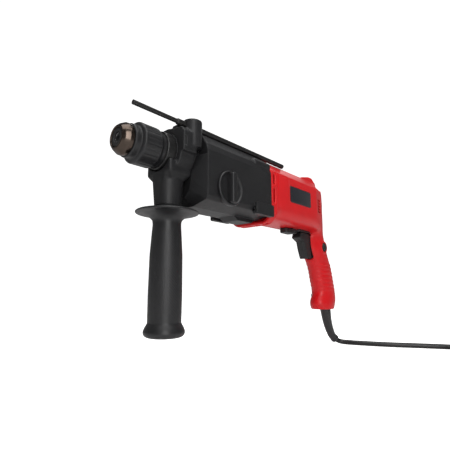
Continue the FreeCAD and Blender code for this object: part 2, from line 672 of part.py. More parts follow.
def make_gear_housing():
    body = prism_x(gear_outline(0), BODY_SHOULDER, JOINT_X, 3.0)
    front = rounded([V(BODY_START, y, z) for y, z in both_sides(FRONT_SECTION)], 3.0)
    shoulder = Part.makeLoft([front, gear_wire(BODY_SHOULDER, 0)], True, True)
    path = block(BODY_START - 1, LUG_PATH_X, -60, 60, -1, 60)
    shoulder = shoulder.cut(path)
    neck = rod_x(NECK_R, NECK_START, LUG_PATH_X + 2)
    sump_side = [(SUMP_START, BODY_BOTTOM + 6), (SUMP_START, BODY_BOTTOM),
                 (SUMP_START + SUMP_SLOPE, SUMP_Z), (SUMP_END - SUMP_SLOPE, SUMP_Z),
                 (SUMP_END, BODY_BOTTOM), (SUMP_END, BODY_BOTTOM + 6)]
    sump = prism_y(sump_side, -SUMP_HALF, SUMP_HALF, 1.5)
    outer = join([body, shoulder, neck, sump])
    pads = []
    for side in (-1, 1):
        y0, y1 = sorted((side * (BODY_HALF - 3), side * (BODY_HALF + PAD_PROUD)))
        pads.append(prism_y([(PAD_X0, PAD_Z0), (PAD_X0, PAD_Z1), (JOINT_X, PAD_Z1), (JOINT_X, PAD_Z0)],
                            y0, y1, 2.0))
    cavity = prism_x(gear_outline(WALL), BODY_SHOULDER + WALL, JOINT_X + 1, 2.0)
    sump_low = [(SUMP_START + 3, BODY_BOTTOM + 8), (SUMP_START + SUMP_SLOPE + 2, SUMP_Z + WALL),
                (SUMP_END - SUMP_SLOPE - 2, SUMP_Z + WALL), (SUMP_END - 3, BODY_BOTTOM + 8)]
    sump_in = prism_y(sump_low, -SUMP_HALF + WALL, SUMP_HALF - WALL, 1.5)
    neck_in = turned_x([(NECK_START - 1, 0), (NECK_START - 1, SPINDLE_BEARING_R), (NECK_STEP_X, SPINDLE_BEARING_R),
                        (NECK_STEP_X, HAMMER_TUBE_R + 1.0), (BODY_SHOULDER + WALL + 1, HAMMER_TUBE_R + 1.0),
                        (BODY_SHOULDER + WALL + 1, 0)])
    bosses = []
    holes = []
    swells = []
    for y, z in LONG_SCREWS:
        bosses.append(rod_x(BOSS_R, PAD_X0, PLATE_X0, y, z).common(outer))
        holes.append(rod_x(SCREW_R + 0.1, PAD_X0, JOINT_X + 1, y, z))
        holes.append(rod_x(SCREW_HEAD_R + 0.2, PAD_X0 - 1, SCREW_SEAT, y, z))
    for side in (-1, 1):
        swell = turned_x([(SWELL_X, 0), (SWELL_X, SWELL_R - SWELL_NOSE), (SWELL_X + SWELL_NOSE, SWELL_R),
                          (JOINT_X, SWELL_R), (JOINT_X, 0)], side * TOP_SCREW_Y, TOP_SCREW_Z)
        rest = prism_x(gear_outline(WALL), BODY_SHOULDER, JOINT_X + 1, 2.0)
        swells.append(swell.cut(rest))
    web = prism_x(gear_outline(WALL - 0.5), WEB_X0, WEB_X1, 2.0)
    web = web.cut(group([rod_x(BUSH_R, WEB_X0 - 1, WEB_X1 + 1),
                         rod_x(LAY_BEARING_R, WEB_X0 - 1, WEB_X1 + 1, 0, LAY_Z)]))
    shell = outer.cut(join([cavity, sump_in])).cut(neck_in)
    shell = join([shell, web] + pads + bosses + swells)
    shell = shell.cut(group(holes))
    knob_hole = rod_y(KNOB_SHAFT_R + FIT, -BODY_HALF - 1, -BODY_HALF + WALL + 4, KNOB_X, KNOB_Z)
    save(shell.cut(knob_hole), "gear_housing")


def make_gear_housing_fittings():
    save(ring_x(SPINDLE_BEARING_R, SPINDLE_NECK_R + FIT, BEARING_X0, BEARING_X1), "spindle_bearing")
    save(ring_x(SPINDLE_BEARING_R, SPINDLE_NECK_R + FIT, BEARING_X1 + SWEEP, SEAL_X1), "spindle_seal")
    save(ring_x(BUSH_R, HAMMER_TUBE_R + FIT, WEB_X0, WEB_X1), "hammer_tube_bush")
    save(group([ring_x(LAY_BEARING_R, LAY_JOURNAL_R + FIT, WEB_X0 + 1, WEB_X1, 0, LAY_Z),
                ring_x(LAY_BEARING_R, LAY_JOURNAL_R + FIT, PLATE_X0 + 1, PLATE_X0 + 7, 0, LAY_Z)]),
         "countershaft_bearings")
    plate = prism_x(gear_outline(WALL + 0.1), PLATE_X0, PLATE_X1 - 4, 2.0)
    hub = rod_x(FRONT_BEARING_R + 2.5, PLATE_X0, PLATE_X1, 0, MOTOR_Z)
    plate = join([plate, hub])
    cuts = [rod_x(LAY_BEARING_R, PLATE_X0 - 1, PLATE_X0 + 7, 0, LAY_Z),
            rod_x(FRONT_BEARING_R, PLATE_X1 - BEARING_WIDE, PLATE_X1 + 1, 0, MOTOR_Z),
            rod_x(SHAFT_R + 1.0, PLATE_X0 - 1, PLATE_X1, 0, MOTOR_Z)]
    for y, z in LONG_SCREWS:
        cuts.append(rod_x(SCREW_R + 0.1, PLATE_X0 - 1, PLATE_X1 + 1, y, z))
    save(plate.cut(group(cuts)), "inner_housing")
    screws = []
    for y, z in LONG_SCREWS:
        head = rod_x(SCREW_HEAD_R, SCREW_SEAT - SCREW_HEAD_LONG, SCREW_SEAT, y, z)
        socket = rod_x(1.6, SCREW_SEAT - SCREW_HEAD_LONG - 1, SCREW_SEAT - 1.2, y, z)
        screws.append(join([head, rod_x(SCREW_R, SCREW_SEAT, SCREW_TIP, y, z)]).cut(socket))
    save(group(screws), "gear_housing_screws")


def make_mode_knob():
    face = -BODY_HALF - SWEEP
    disc = rod_y(KNOB_R, face - KNOB_THICK, face, KNOB_X, KNOB_Z)
    bar = prism_y([(KNOB_X - KNOB_BAR_WIDE / 2, KNOB_Z - KNOB_R + KNOB_BAR_SHORT),
                   (KNOB_X - KNOB_BAR_WIDE / 2, KNOB_Z + KNOB_R - KNOB_BAR_SHORT),
                   (KNOB_X + KNOB_BAR_WIDE / 2, KNOB_Z + KNOB_R - KNOB_BAR_SHORT),
                   (KNOB_X + KNOB_BAR_WIDE / 2, KNOB_Z - KNOB_R + KNOB_BAR_SHORT)],
                  face - KNOB_THICK - KNOB_BAR_PROUD, face - KNOB_THICK + 1, 3.0)
    shaft = rod_y(KNOB_SHAFT_R, face - 1, -BODY_HALF + WALL + 3, KNOB_X, KNOB_Z)
    pin = rod_y(KNOB_PIN_R, -BODY_HALF + WALL + 2, -BODY_HALF + WALL + 8, KNOB_X, KNOB_Z - KNOB_PIN_OFF)
    save(join([disc, bar, shaft, pin]), "mode_knob")


# ================================================================ motor
def make_armature():
    x0 = LARGE_GEAR_X - 0.5
    teeth = gear(MOTOR_MODULE, MOTOR_TEETH, x0, PLATE_X0 + 1.5 - x0, 0, MOTOR_Z, 0.0, 0.2, 0.6)
    shaft = turned_x([(PLATE_X0 + 1.5, 0), (PLATE_X0 + 1.5, SHAFT_R), (SHAFT_END, SHAFT_R),
                      (SHAFT_END, 0)], 0, MOTOR_Z)
    save(join([teeth, shaft]), "armature_shaft")
    core = ring_x(CORE_R, SHAFT_R, CORE_X0, CORE_X1, 0, MOTOR_Z)
    slots = []
    for i in range(CORE_SLOTS):
        angle = 2 * math.pi * i / CORE_SLOTS
        slot = block(CORE_X0 - 1, CORE_X1 + 1, -0.9, 0.9, CORE_R - 6, CORE_R + 1)
        slot.rotate(V(0, 0, 0), V(1, 0, 0), math.degrees(angle))
        slot.translate(V(0, 0, MOTOR_Z))
        slots.append(slot)
    save(core.cut(group(slots)), "armature_core")
    ends = [turned_x([(CORE_X0 - 5, SHAFT_R), (CORE_X0 - 5, 13), (CORE_X0 - 3, 15.5), (CORE_X0, 15.5),
                      (CORE_X0, SHAFT_R)], 0, MOTOR_Z),
            turned_x([(CORE_X1, SHAFT_R), (CORE_X1, 15.5), (CORE_X1 + 8, 15), (CORE_X1 + 12, 12.5),
                      (CORE_X1 + 12, SHAFT_R)], 0, MOTOR_Z)]
    save(group(ends), "armature_windings")
    comm = ring_x(COMMUTATOR_R, SHAFT_R, COMMUTATOR_X0, COMMUTATOR_X1, 0, MOTOR_Z)
    grooves = []
    for i in range(COMMUTATOR_BARS):
        groove = block(COMMUTATOR_X0 - 1, COMMUTATOR_X1 + 1, -0.25, 0.25, COMMUTATOR_R - 1, COMMUTATOR_R + 1)
        groove.rotate(V(0, 0, 0), V(1, 0, 0), 360.0 * i / COMMUTATOR_BARS)
        groove.translate(V(0, 0, MOTOR_Z))
        grooves.append(groove)
    save(comm.cut(group(grooves)), "commutator")
    hub = ring_x(9, SHAFT_R, FAN_X0, FAN_X1, 0, MOTOR_Z)
    disc = ring_x(FAN_R, SHAFT_R, FAN_X1 - 2, FAN_X1, 0, MOTOR_Z)
    blades = []
    for i in range(FAN_BLADES):
        blade = block(FAN_X0, FAN_X1 - 1, -0.8, 0.8, 8, FAN_R)
        blade.rotate(V(0, 0, 8), V(1, 0, 0), 20)
        blade.rotate(V(0, 0, 0), V(1, 0, 0), 360.0 * i / FAN_BLADES)
        blade.translate(V(0, 0, MOTOR_Z))
        blades.append(blade.common(rod_x(FAN_R, FAN_X0, FAN_X1, 0, MOTOR_Z)))
    save(join([hub, disc] + blades), "fan")


def make_motor_fixed():
    inner = CORE_R + STATOR_GAP
    core = ring_x(STATOR_R, inner, CORE_X0, CORE_X1, 0, MOTOR_Z)
    core = core.common(block(CORE_X0, CORE_X1, -40, 40, MOTOR_Z - STATOR_FLAT, MOTOR_Z + STATOR_FLAT))
    save(core, "stator_core")
    coils = []
    for x0 in (CORE_X0 - COIL_LONG + 4, CORE_X1):
        ring = ring_x(STATOR_R - 4, inner + 1, x0, x0 + COIL_LONG - 4 if x0 < CORE_X0 else x0 + COIL_LONG,
                      0, MOTOR_Z)
        coils.append(ring.cut(block(x0 - 1, x0 + 20, -40, 40, MOTOR_Z - 3, MOTOR_Z + 3)))
    save(group([s for c in coils for s in c.Solids]), "field_coils")
    save(group([ring_x(FRONT_BEARING_R, SHAFT_R + FIT, PLATE_X1 - BEARING_WIDE, PLATE_X1, 0, MOTOR_Z),
                ring_x(REAR_BEARING_R, SHAFT_R + FIT, REAR_BEARING_X, REAR_BEARING_X + BEARING_WIDE,
                       0, MOTOR_Z)]), "motor_bearings")
    baffle = prism_x(barrel_outline(SHELL + 0.2), BAFFLE_X, BAFFLE_X + BAFFLE_THICK,
                     barrel_corners(SHELL))
    save(baffle.cut(rod_x(BAFFLE_EYE_R, BAFFLE_X - 1, BAFFLE_X + 5, 0, MOTOR_Z)), "air_baffle")
    holders = []
    brushes = []
    springs = []
    for side in (-1, 1):
        y_in = side * (COMMUTATOR_R + 1.2)
        y_out = side * (BARREL_HALF - SHELL)
        low, high = sorted((y_in, y_out))
        x_half = BRUSH_WIDE / 2
        z_half = BRUSH_THICK / 2
        tube = block(BRUSH_X - x_half - HOLDER_WALL, BRUSH_X + x_half + HOLDER_WALL, low, high,
                     MOTOR_Z - z_half - HOLDER_WALL, MOTOR_Z + z_half + HOLDER_WALL)
        bore = block(BRUSH_X - x_half - FIT, BRUSH_X + x_half + FIT, low - 1, high + 1,
                     MOTOR_Z - z_half - FIT, MOTOR_Z + z_half + FIT)
        holders.append(tube.cut(bore))
        face = side * (COMMUTATOR_R + 0.3)
        low, high = sorted((face, face + side * BRUSH_LONG))
        brushes.append(block(BRUSH_X - x_half, BRUSH_X + x_half, low, high,
                             MOTOR_Z - z_half, MOTOR_Z + z_half))
        start = side * (COMMUTATOR_R + 0.3 + BRUSH_LONG + 0.5)
        springs.append(coil_spring(2.1, 0.3, 5, 7.0, V(BRUSH_X, start, MOTOR_Z), V(0, side, 0)))
    save(group(holders), "brush_holders")
    save(group(brushes), "carbon_brushes")
    save(group(springs), "brush_springs")


# ================================================================ motor housing and grip
GRIP_SECTIONS = [           # height, front, rear, half width of the grip
    (-28.0, 336.0, 389.0, 19.0),
    (-48.0, 344.5, 394.0, 18.0),
    (-64.0, 349.0, 399.0, 17.5),
    (-92.0, 355.0, 410.0, 17.0),
    (-109.0, 367.0, 417.5, 17.0),
    (-135.0, 375.0, 425.5, 17.0),
    (-156.0, 378.5, 430.0, 17.5),
    (-165.0, 373.5, 430.0, 18.2),
    (-173.0, 372.5, 426.5, 18.2),
    (GRIP_BOTTOM, 376.5, 422.5, 17.5),
]


def barrel_outline(inset, drop=0.0):
    half = [(BARREL_BOTTOM_HALF - inset * 0.4, BARREL_BOTTOM - drop + inset),
            (BARREL_HALF - inset, BARREL_SIDE_BOTTOM - drop + inset * 0.4),
            (BARREL_HALF - inset, BARREL_SIDE_TOP - inset * 0.4),
            (BARREL_BEVEL_Y - inset * 0.6, BARREL_BEVEL_Z - inset * 0.9),
            (BARREL_TOP_HALF - inset * 0.3, BARREL_TOP - inset)]
    return both_sides(half)


def barrel_corners(inset):
    """Corner radii that keep the wall even where the outline is drawn in."""
    return [max(r - inset, 2.0) for r in BARREL_SOFT + BARREL_SOFT[::-1]]


def grip_wire(z, front, rear, half):
    middle = (front + rear) / 2
    ellipse = Part.Ellipse(V(middle, 0, z), (rear - front) / 2, half)
    return Part.Wire(ellipse.toShape())


def housing_solid(inset):
    """The outer form of the red housing, drawn in by inset all round."""
    x0 = JOINT_X if inset == 0 else JOINT_X - 1
    barrel = prism_x(barrel_outline(inset), x0, TAIL_X - inset, barrel_corners(inset))
    flange = prism_x(barrel_outline(inset, FLANGE_DROP), x0, FLANGE_END - inset, barrel_corners(inset))
    side = BARREL_HALF + 1 - inset
    plan = prism_z([(x0 - 1, -side), (x0 - 1, side), (TAPER_X, side), (TAPER_X + TAPER_LONG, side - TAPER_IN),
                    (TAIL_X - inset, TAIL_HALF - inset), (TAIL_X - inset, -TAIL_HALF + inset),
                    (TAPER_X + TAPER_LONG, -side + TAPER_IN), (TAPER_X, -side)], -200, 60, 9.0)
    back = prism_y([(x0 - 1, -100), (x0 - 1, 60), (HUMP_REAR - inset, 60),
                    (HUMP_REAR - inset, 14), (TAIL_X - 15 - inset, 10 - inset * 0.5),
                    (TAIL_X - 6 - inset, -8), (TAIL_X - 1 - inset, -26),
                    (TAIL_X + 3 - inset, -100)], -60, 60, 6.0)
    corners = [prism_z([(SHOULDER_X0, side * 45), (SHOULDER_X0, side * (BARREL_HALF - inset)),
                        (HUMP_REAR + 2, side * (HUMP_HALF - 1 - inset)), (HUMP_REAR + 2, side * 45)],
                       SHOULDER_Z - inset * 0.5, 60, 1.0) for side in (-1, 1)]
    barrel = barrel.common(plan).common(back).cut(group(corners))
    hump = prism_y([(HUMP_START + inset, 0), (HUMP_START + inset, BARREL_TOP - inset - 1),
                    (HUMP_START + 22 + inset, HUMP_TOP - inset), (HUMP_REAR - 10 - inset, HUMP_TOP - inset),
                    (HUMP_REAR - inset, 27 - inset), (HUMP_REAR - inset, 0)],
                   -HUMP_HALF + inset, HUMP_HALF - inset, 3.0)
    grip = lofted([(z + (inset if z == GRIP_BOTTOM else 0), front + inset, rear - inset, half - inset)
                   for z, front, rear, half in GRIP_SECTIONS], grip_wire)
    return join([barrel, flange, hump, grip])


BOSSES = [(234.5, 20.5), (296.0, 20.5), (347.0, 20.0), (234.5, -47.5), (270.0, -46.5),
          (345.0, -42.0), (397.0, -118.0), (386.0, -158.0)]


def trigger_outline(grow):
    """Side view of the trigger: spur at the top front, hooked lower lip."""
    return [(319.5 - grow, -66.0 - grow), (324.0 - grow, TRIGGER_TOP + grow),
            (TRIGGER_REAR - 3.0 + grow, TRIGGER_TOP + grow), (TRIGGER_REAR + grow, -97.0 - grow),
            (343.0, TRIGGER_LOW - grow), (336.5 - grow, -84.0),
            (333.0 - grow, -72.0 - grow)]


def make_housing():
    outer = housing_solid(0.0)
    inner = housing_solid(SHELL)
    lock_boss = rod_y(LOCK_BOSS_R, LOCK_BOSS_FACE, -8, LOCK_X, LOCK_Z)
    shell = join([outer, lock_boss]).cut(inner)
    bosses = []
    holes = []
    for x, z in BOSSES:
        bosses.append(rod_y(BOSS_R, -40, 40, x, z).common(outer))
        holes.append(rod_y(SCREW_R + 0.1, -8, 40, x, z))
        holes.append(rod_y(SCREW_HEAD_R + 0.2, screw_seat(outer, x, z), 45, x, z))
    seat = block(REAR_BEARING_X - 1, REAR_BEARING_X + BEARING_WIDE + 1, -SEAT_HALF, SEAT_HALF,
                 MOTOR_Z - SEAT_TALL, MOTOR_Z + SEAT_TALL)
    posts = block(REAR_BEARING_X, REAR_BEARING_X + BEARING_WIDE, -BARREL_HALF, BARREL_HALF,
                  MOTOR_Z - POST_TALL, MOTOR_Z + POST_TALL)
    seat = join([seat, posts]).common(outer)
    seat = seat.cut(group([rod_x(REAR_BEARING_R, REAR_BEARING_X, REAR_BEARING_X + BEARING_WIDE, 0, MOTOR_Z),
                           rod_x(SHAFT_R + 1, REAR_BEARING_X - 2, REAR_BEARING_X + 20, 0, MOTOR_Z)]))
    for y, z in LONG_SCREWS:
        bosses.append(rod_x(BOSS_R, JOINT_X, SCREW_TIP + 2, y, z).common(outer))
        holes.append(rod_x(SCREW_R, JOINT_X - 1, SCREW_TIP, y, z))
    shell = join([shell, seat] + bosses)
    cuts = list(holes)
    cuts.append(prism_y(trigger_outline(GAP), -TRIGGER_HALF - GAP, TRIGGER_HALF + GAP, 1.5))
    cuts.append(block(TRIGGER_POCKET_X, TRIGGER_REAR + TRIGGER_TRAVEL + 2 * GAP,
                      -TRIGGER_HALF - GAP, TRIGGER_HALF + GAP, TRIGGER_LOW - GAP, TRIGGER_TOP + GAP))
    cuts.append(rod_z(LEVER_PIN_R + FIT, BARREL_BOTTOM - 2, BARREL_BOTTOM + SHELL + 2, LEVER_PIN_X))
    cuts.append(rod_y(LOCK_R + GAP, -30, -6, LOCK_X, LOCK_Z))
    for side in (-1, 1):
        y0, y1 = sorted((side * (BARREL_HALF - 6), side * (BARREL_HALF + 5)))
        for low, high in SIDE_SLOTS:
            cuts.append(block(SLOT_X0, SLOT_X1, y0, y1, low, high))
        for near, far in UNDER_SLOTS:
            y0, y1 = sorted((side * near, side * far))
            cuts.append(block(SLOT_X0, SLOT_X1, y0, y1, BARREL_BOTTOM - 16, BARREL_BOTTOM + 4))
        for i in range(VENT_COUNT):
            top = VENT_TOP - i * VENT_PITCH
            y0, y1 = sorted((side * BARREL_HALF / 2, side * (BARREL_HALF + 9)))
            cuts.append(block(VENT_X0, VENT_X1, y0, y1, top - VENT_TALL, top))
    recess = block(PLATE_START - GAP / 2, PLATE_START + PLATE_LONG + GAP / 2, -BARREL_HALF - 1,
                   -BARREL_HALF + PLATE_SUNK, PLATE_MID_Z - PLATE_TALL / 2 - GAP / 2,
                   PLATE_MID_Z + PLATE_TALL / 2 + GAP / 2)
    cuts.append(recess)
    cuts.append(rod_z(RELIEF[0][3] + 0.9, GRIP_BOTTOM - 1, GRIP_BOTTOM + SHELL + 0.8, RELIEF[0][0] + 1.2))
    shell = shell.cut(group(cuts))
    for side, node in ((-1, "housing_left"), (1, "housing_right")):
        y0, y1 = sorted((0, side * 60))
        half = shell.common(block(JOINT_X - 5, 450, y0, y1, -200, 80))
        half = max(half.Solids, key=lambda s: s.Volume)
        save(half, node)
    return outer


def screw_seat(outer, x, z):
    """How far out from the split line a housing screw's head sits."""
    widest = int(BARREL_HALF)
    free = [y for y in range(1, widest) if not outer.isInside(V(x, y, z), FIT, False)]
    return min(free + [widest]) - SCREW_HEAD_LONG - SCREW_SUNK


def make_housing_fittings(outer):
    screws = []
    for x, z in BOSSES:
        seat = screw_seat(outer, x, z)
        head = rod_y(SCREW_HEAD_R, seat, seat + SCREW_HEAD_LONG, x, z)
        screw = join([head, rod_y(SCREW_R, -7, seat, x, z)])
        screws.append(screw.cut(rod_y(1.6, seat + 1.2, seat + 10, x, z)))
    save(group(screws), "housing_screws")
    pad = prism_y([(HUMP_REAR, REAR_PAD_LOW), (HUMP_REAR, REAR_PAD_TOP),
                   (HUMP_REAR + REAR_PAD_THICK, REAR_PAD_TOP - 1.5),
                   (HUMP_REAR + REAR_PAD_THICK, REAR_PAD_LOW + 1.0)],
                  -HUMP_HALF + 3, HUMP_HALF - 3, 1.5)
    save(pad, "rear_pad")
    strap_outline = prism_y([(STRAP_X0, STRAP_TOP), (STRAP_X0 + 50, STRAP_TOP), (STRAP_X0 + 50, STRAP_LOW),
                             (STRAP_X0, STRAP_LOW)], -STRAP_HALF, STRAP_HALF, 1.0)
    grown = housing_solid(-STRAP_THICK)
    save(max(grown.cut(outer).common(strap_outline).Solids, key=lambda s: s.CenterOfMass.x), "grip_backstrap")
    plate = block(PLATE_START, PLATE_START + PLATE_LONG, -BARREL_HALF + PLATE_SUNK - PLATE_THICK,
                  -BARREL_HALF + PLATE_SUNK, PLATE_MID_Z - PLATE_TALL / 2, PLATE_MID_Z + PLATE_TALL / 2)
    save(plate, "name_plate")
    lever_top = BARREL_BOTTOM - SWEEP
    lever = prism_z([(LEVER_X0, -LEVER_HALF + 2), (LEVER_X0, LEVER_HALF - 2), (LEVER_X1, LEVER_HALF),
                     (LEVER_X1, -LEVER_HALF)], lever_top - LEVER_TALL, lever_top, 2.0)
    save(join([lever, rod_z(LEVER_PIN_R, lever_top - 1, BARREL_BOTTOM + SHELL + 4, LEVER_PIN_X)]),
         "direction_lever")
    trigger = prism_y(trigger_outline(0), -TRIGGER_HALF, TRIGGER_HALF, 1.2)
    trigger = trigger.cut(rod_y(FINGER_HOLLOW_R, -20, 20, FINGER_HOLLOW_X, FINGER_HOLLOW_Z))
    save(max(trigger.Solids, key=lambda s: s.Volume), "trigger")
    underside = BARREL_BOTTOM + 1.0
    trim = prism_y([(TRIM_X0, underside), (TRIM_X0 + 3, TRIGGER_TOP + GAP), (TRIM_X1, TRIGGER_TOP + GAP),
                    (TRIM_X1, underside)], -TRIM_HALF, TRIM_HALF, 0.8).cut(outer)
    save(max(trim.Solids, key=lambda s: s.Volume), "trigger_trim")
    save(block(SWITCH_X0, SWITCH_X1, -SWITCH_HALF, SWITCH_HALF, SWITCH_LOW, SWITCH_TOP), "switch_body")
    save(rod_y(LOCK_R, LOCK_FACE, LOCK_FACE + LOCK_LONG, LOCK_X, LOCK_Z), "lock_button")
    save(block(ANCHOR_X0, ANCHOR_X1, -ANCHOR_HALF, ANCHOR_HALF, ANCHOR_LOW, ANCHOR_TOP), "cord_clamp")


# ================================================================ side handle and depth rod
def foot_outline(inset):
    x0, x1, y = FOOT_X0 + inset, CLAMP_X1 - inset, FOOT_HALF - inset
    return [(x0, -y), (x0, y), (x1, y), (x1, -y)]


def make_side_handle():
    band = rod_x(CLAMP_R, CLAMP_X0, CLAMP_X1)
    foot = prism_z(foot_outline(0), FOOT_BOTTOM, FOOT_TOP, 3.0)
    taper = Part.makeLoft([rounded([V(x, y, FOOT_BOTTOM) for x, y in foot_outline(0)], 3.0),
                           rounded([V(x, y, FOOT_BOTTOM - FOOT_CHAMFER)
                                    for x, y in foot_outline(FOOT_INSET)], 3.0)],
                          True, True)
    throat = Part.makeCone(STEM_R, THROAT_R, FOOT_BOTTOM - STEM_BOTTOM, V(HANDLE_X, 0, STEM_BOTTOM))
    throat = throat.common(block(FOOT_X0, CLAMP_X1, -FOOT_HALF, FOOT_HALF, STEM_BOTTOM, FOOT_TOP))
    lug = rod_z(LUG_R, LUG_BOTTOM, LUG_TOP, LUG_X, LUG_Y)
    web = block(WEB_START, LUG_X, ROD_Y + ROD_THICK_R + GAP, WEB_FAR_Y, WEB_LOW, WEB_TOP)
    cheek = prism_x([(CHEEK_FAR_Y, CHEEK_LOW), (CHEEK_FAR_Y, CHEEK_TOP - CHEEK_SLOPE),
                     (CHEEK_FAR_Y + CHEEK_SLOPE, CHEEK_TOP), (CHEEK_NEAR_Y, CHEEK_TOP),
                     (CHEEK_NEAR_Y, CHEEK_LOW)], CLAMP_X0, LUG_X, 2.5)
    clamp = join([band, foot, taper, throat, lug, web, cheek])
    cuts = [rod_x(NECK_R + SWEEP, FOOT_X0 - 5, LUG_PATH_X + 5),
            rod_x(ROD_THICK_R + FIT, 40, 110, ROD_Y, ROD_Z),
            rod_z(STUD_R, STEM_BOTTOM - 1, STUD_TOP, HANDLE_X)]
    clamp = clamp.cut(group(cuts))
    save(max(clamp.Solids, key=lambda s: s.Volume), "handle_clamp")
    save(rod_z(STUD_R, STUD_END, STUD_TOP, HANDLE_X), "clamp_stud")
    top = STEM_BOTTOM - SWEEP
    profile = [(top, STUD_R + FIT), (top, HUB_R - 2), (top - 1.5, HUB_R), (GUARD_Z + GUARD_THICK, HUB_R + 2),
               (GUARD_Z + 1.6, GUARD_R - 1.0), (GUARD_Z + 0.6, GUARD_R), (GUARD_Z - 0.6, GUARD_R - 0.3),
               (GUARD_Z - 2.0, GUARD_R - 8), (GUARD_Z - 4.5, HUB_R + 3), (GUARD_Z - 8.0, HANDLE_TOP_R + 0.6),
               (GUARD_Z - 12.0, HANDLE_TOP_R), (GUARD_Z - 45, HANDLE_MID_R - 0.5), (GUARD_Z - 85, HANDLE_MID_R),
               (HANDLE_BOTTOM + 13, HANDLE_MID_R - 0.2), (HANDLE_BOTTOM + 9, HANDLE_BULB_R - 1.5),
               (HANDLE_BOTTOM + 5, HANDLE_BULB_R), (HANDLE_BOTTOM + 2, HANDLE_BULB_R - 1.2),
               (HANDLE_BOTTOM, HANDLE_BULB_R - 4), (HANDLE_BOTTOM, 0), (STUD_END - 4, 0),
               (STUD_END - 4, STUD_R + FIT)]
    save(turned_z(profile, HANDLE_X), "side_grip")
    rod = turned_x([(ROD_START, 0), (ROD_START, ROD_THIN_R), (ROD_STEP, ROD_THIN_R),
                    (ROD_STEP + 1, ROD_THICK_R), (ROD_START + ROD_LONG - 1, ROD_THICK_R),
                    (ROD_START + ROD_LONG, ROD_THICK_R - 1), (ROD_START + ROD_LONG, 0)], ROD_Y, ROD_Z)
    save(rod, "depth_rod")


# ================================================================ mains lead
def circle_at(x, y, z, r, direction):
    return Part.Wire(Part.makeCircle(r, V(x, y, z), direction))


def make_lead():
    points = [V(x, y, z) for x, y, z, r in RELIEF]
    sections = []
    for i, (x, y, z, r) in enumerate(RELIEF):
        ahead = points[min(i + 1, len(points) - 1)]
        behind = points[max(i - 1, 0)]
        sections.append(circle_at(x, y, z, r, (ahead - behind).normalize()))
    relief = Part.makeLoft(sections, True, False)
    collar = rod_z(RELIEF[0][3] + 2.5, GRIP_BOTTOM + SHELL + 0.8, GRIP_BOTTOM + SHELL + 3.8, RELIEF[0][0])
    save(join([relief, collar]), "strain_relief")
    lead = tube_along(LEAD_ROUTE, CORD_R, "cord_lead")
    save(lead, "cord_lead")
    save(rod_z(COIL_R, COIL_BOTTOM, COIL_BOTTOM + COIL_TALL, COIL_X, COIL_Y)
         .cut(rod_z(COIL_HOLE_R, COIL_BOTTOM - 1, COIL_BOTTOM + COIL_TALL + 1, COIL_X, COIL_Y)), "cord_coil")
    save(tube_along(TAIL_ROUTE, CORD_R, "cord_tail"), "cord_tail")
    turn = math.pi * (COIL_R + COIL_HOLE_R)
    print("turns in the coil for the whole lead %.1f" % ((CORD_LENGTH - LEAD_AND_TAIL) / turn))
    width = COIL_R - COIL_HOLE_R
    y = width / 2 + TIE_GAP
    z = COIL_TALL / 2 + TIE_GAP
    band = block(-TIE_WIDE / 2, TIE_WIDE / 2, -y - TIE_THICK, y + TIE_THICK, -z - TIE_THICK, z + TIE_THICK)
    band = band.cut(block(-TIE_WIDE, TIE_WIDE, -y, y, -z, z))
    band.translate(V(COIL_X, COIL_Y - (COIL_R + COIL_HOLE_R) / 2, COIL_BOTTOM + COIL_TALL / 2))
    band.rotate(V(COIL_X, COIL_Y, 0), V(0, 0, 1), TIE_TURN)
    save(band, "cord_tie")
    end = TAIL_ROUTE[-1]
    axis = V(-1, 0, 0)
    plug = Part.makeCone(PLUG_NECK_R, 0.85 * PLUG_R, PLUG_NECK, V(*end), axis)
    base = V(end[0] - PLUG_NECK, end[1], end[2])
    body = Part.makeCylinder(PLUG_R, PLUG_LONG - PLUG_NECK, base, axis)
    save(join([plug, body]), "plug_body")
    pins = []
    for side in (-1, 1):
        base = V(end[0] - PLUG_LONG, end[1] + side * PLUG_PIN_PITCH / 2, end[2])
        pins.append(Part.makeCylinder(PLUG_PIN_R, PLUG_PIN_LONG, base, axis))
    save(group(pins), "plug_pins")


make_spindle()
make_chuck()
make_hammer()
make_countershaft()
make_gear_housing()
make_gear_housing_fittings()
make_mode_knob()
make_armature()
make_motor_fixed()
housing_form = make_housing()
make_housing_fittings(housing_form)
make_side_handle()
make_lead()
print("nodes", len(os.listdir("parts")))
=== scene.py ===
# %% [markdown]
# # A rotary hammer, dressed piece by piece
#
# A rotary hammer is a drill whose piston also strikes the bit. This lesson takes its exact
# solids, already in place, and gives them the look of the real tool: cast black housing,
# glossy red clamshell, bronzed chuck and a curled mains lead. The solids give every position,
# so nothing here is fitted by eye. Each cell makes one thing and prints what it made.

# %% Load the solids
import json
import math

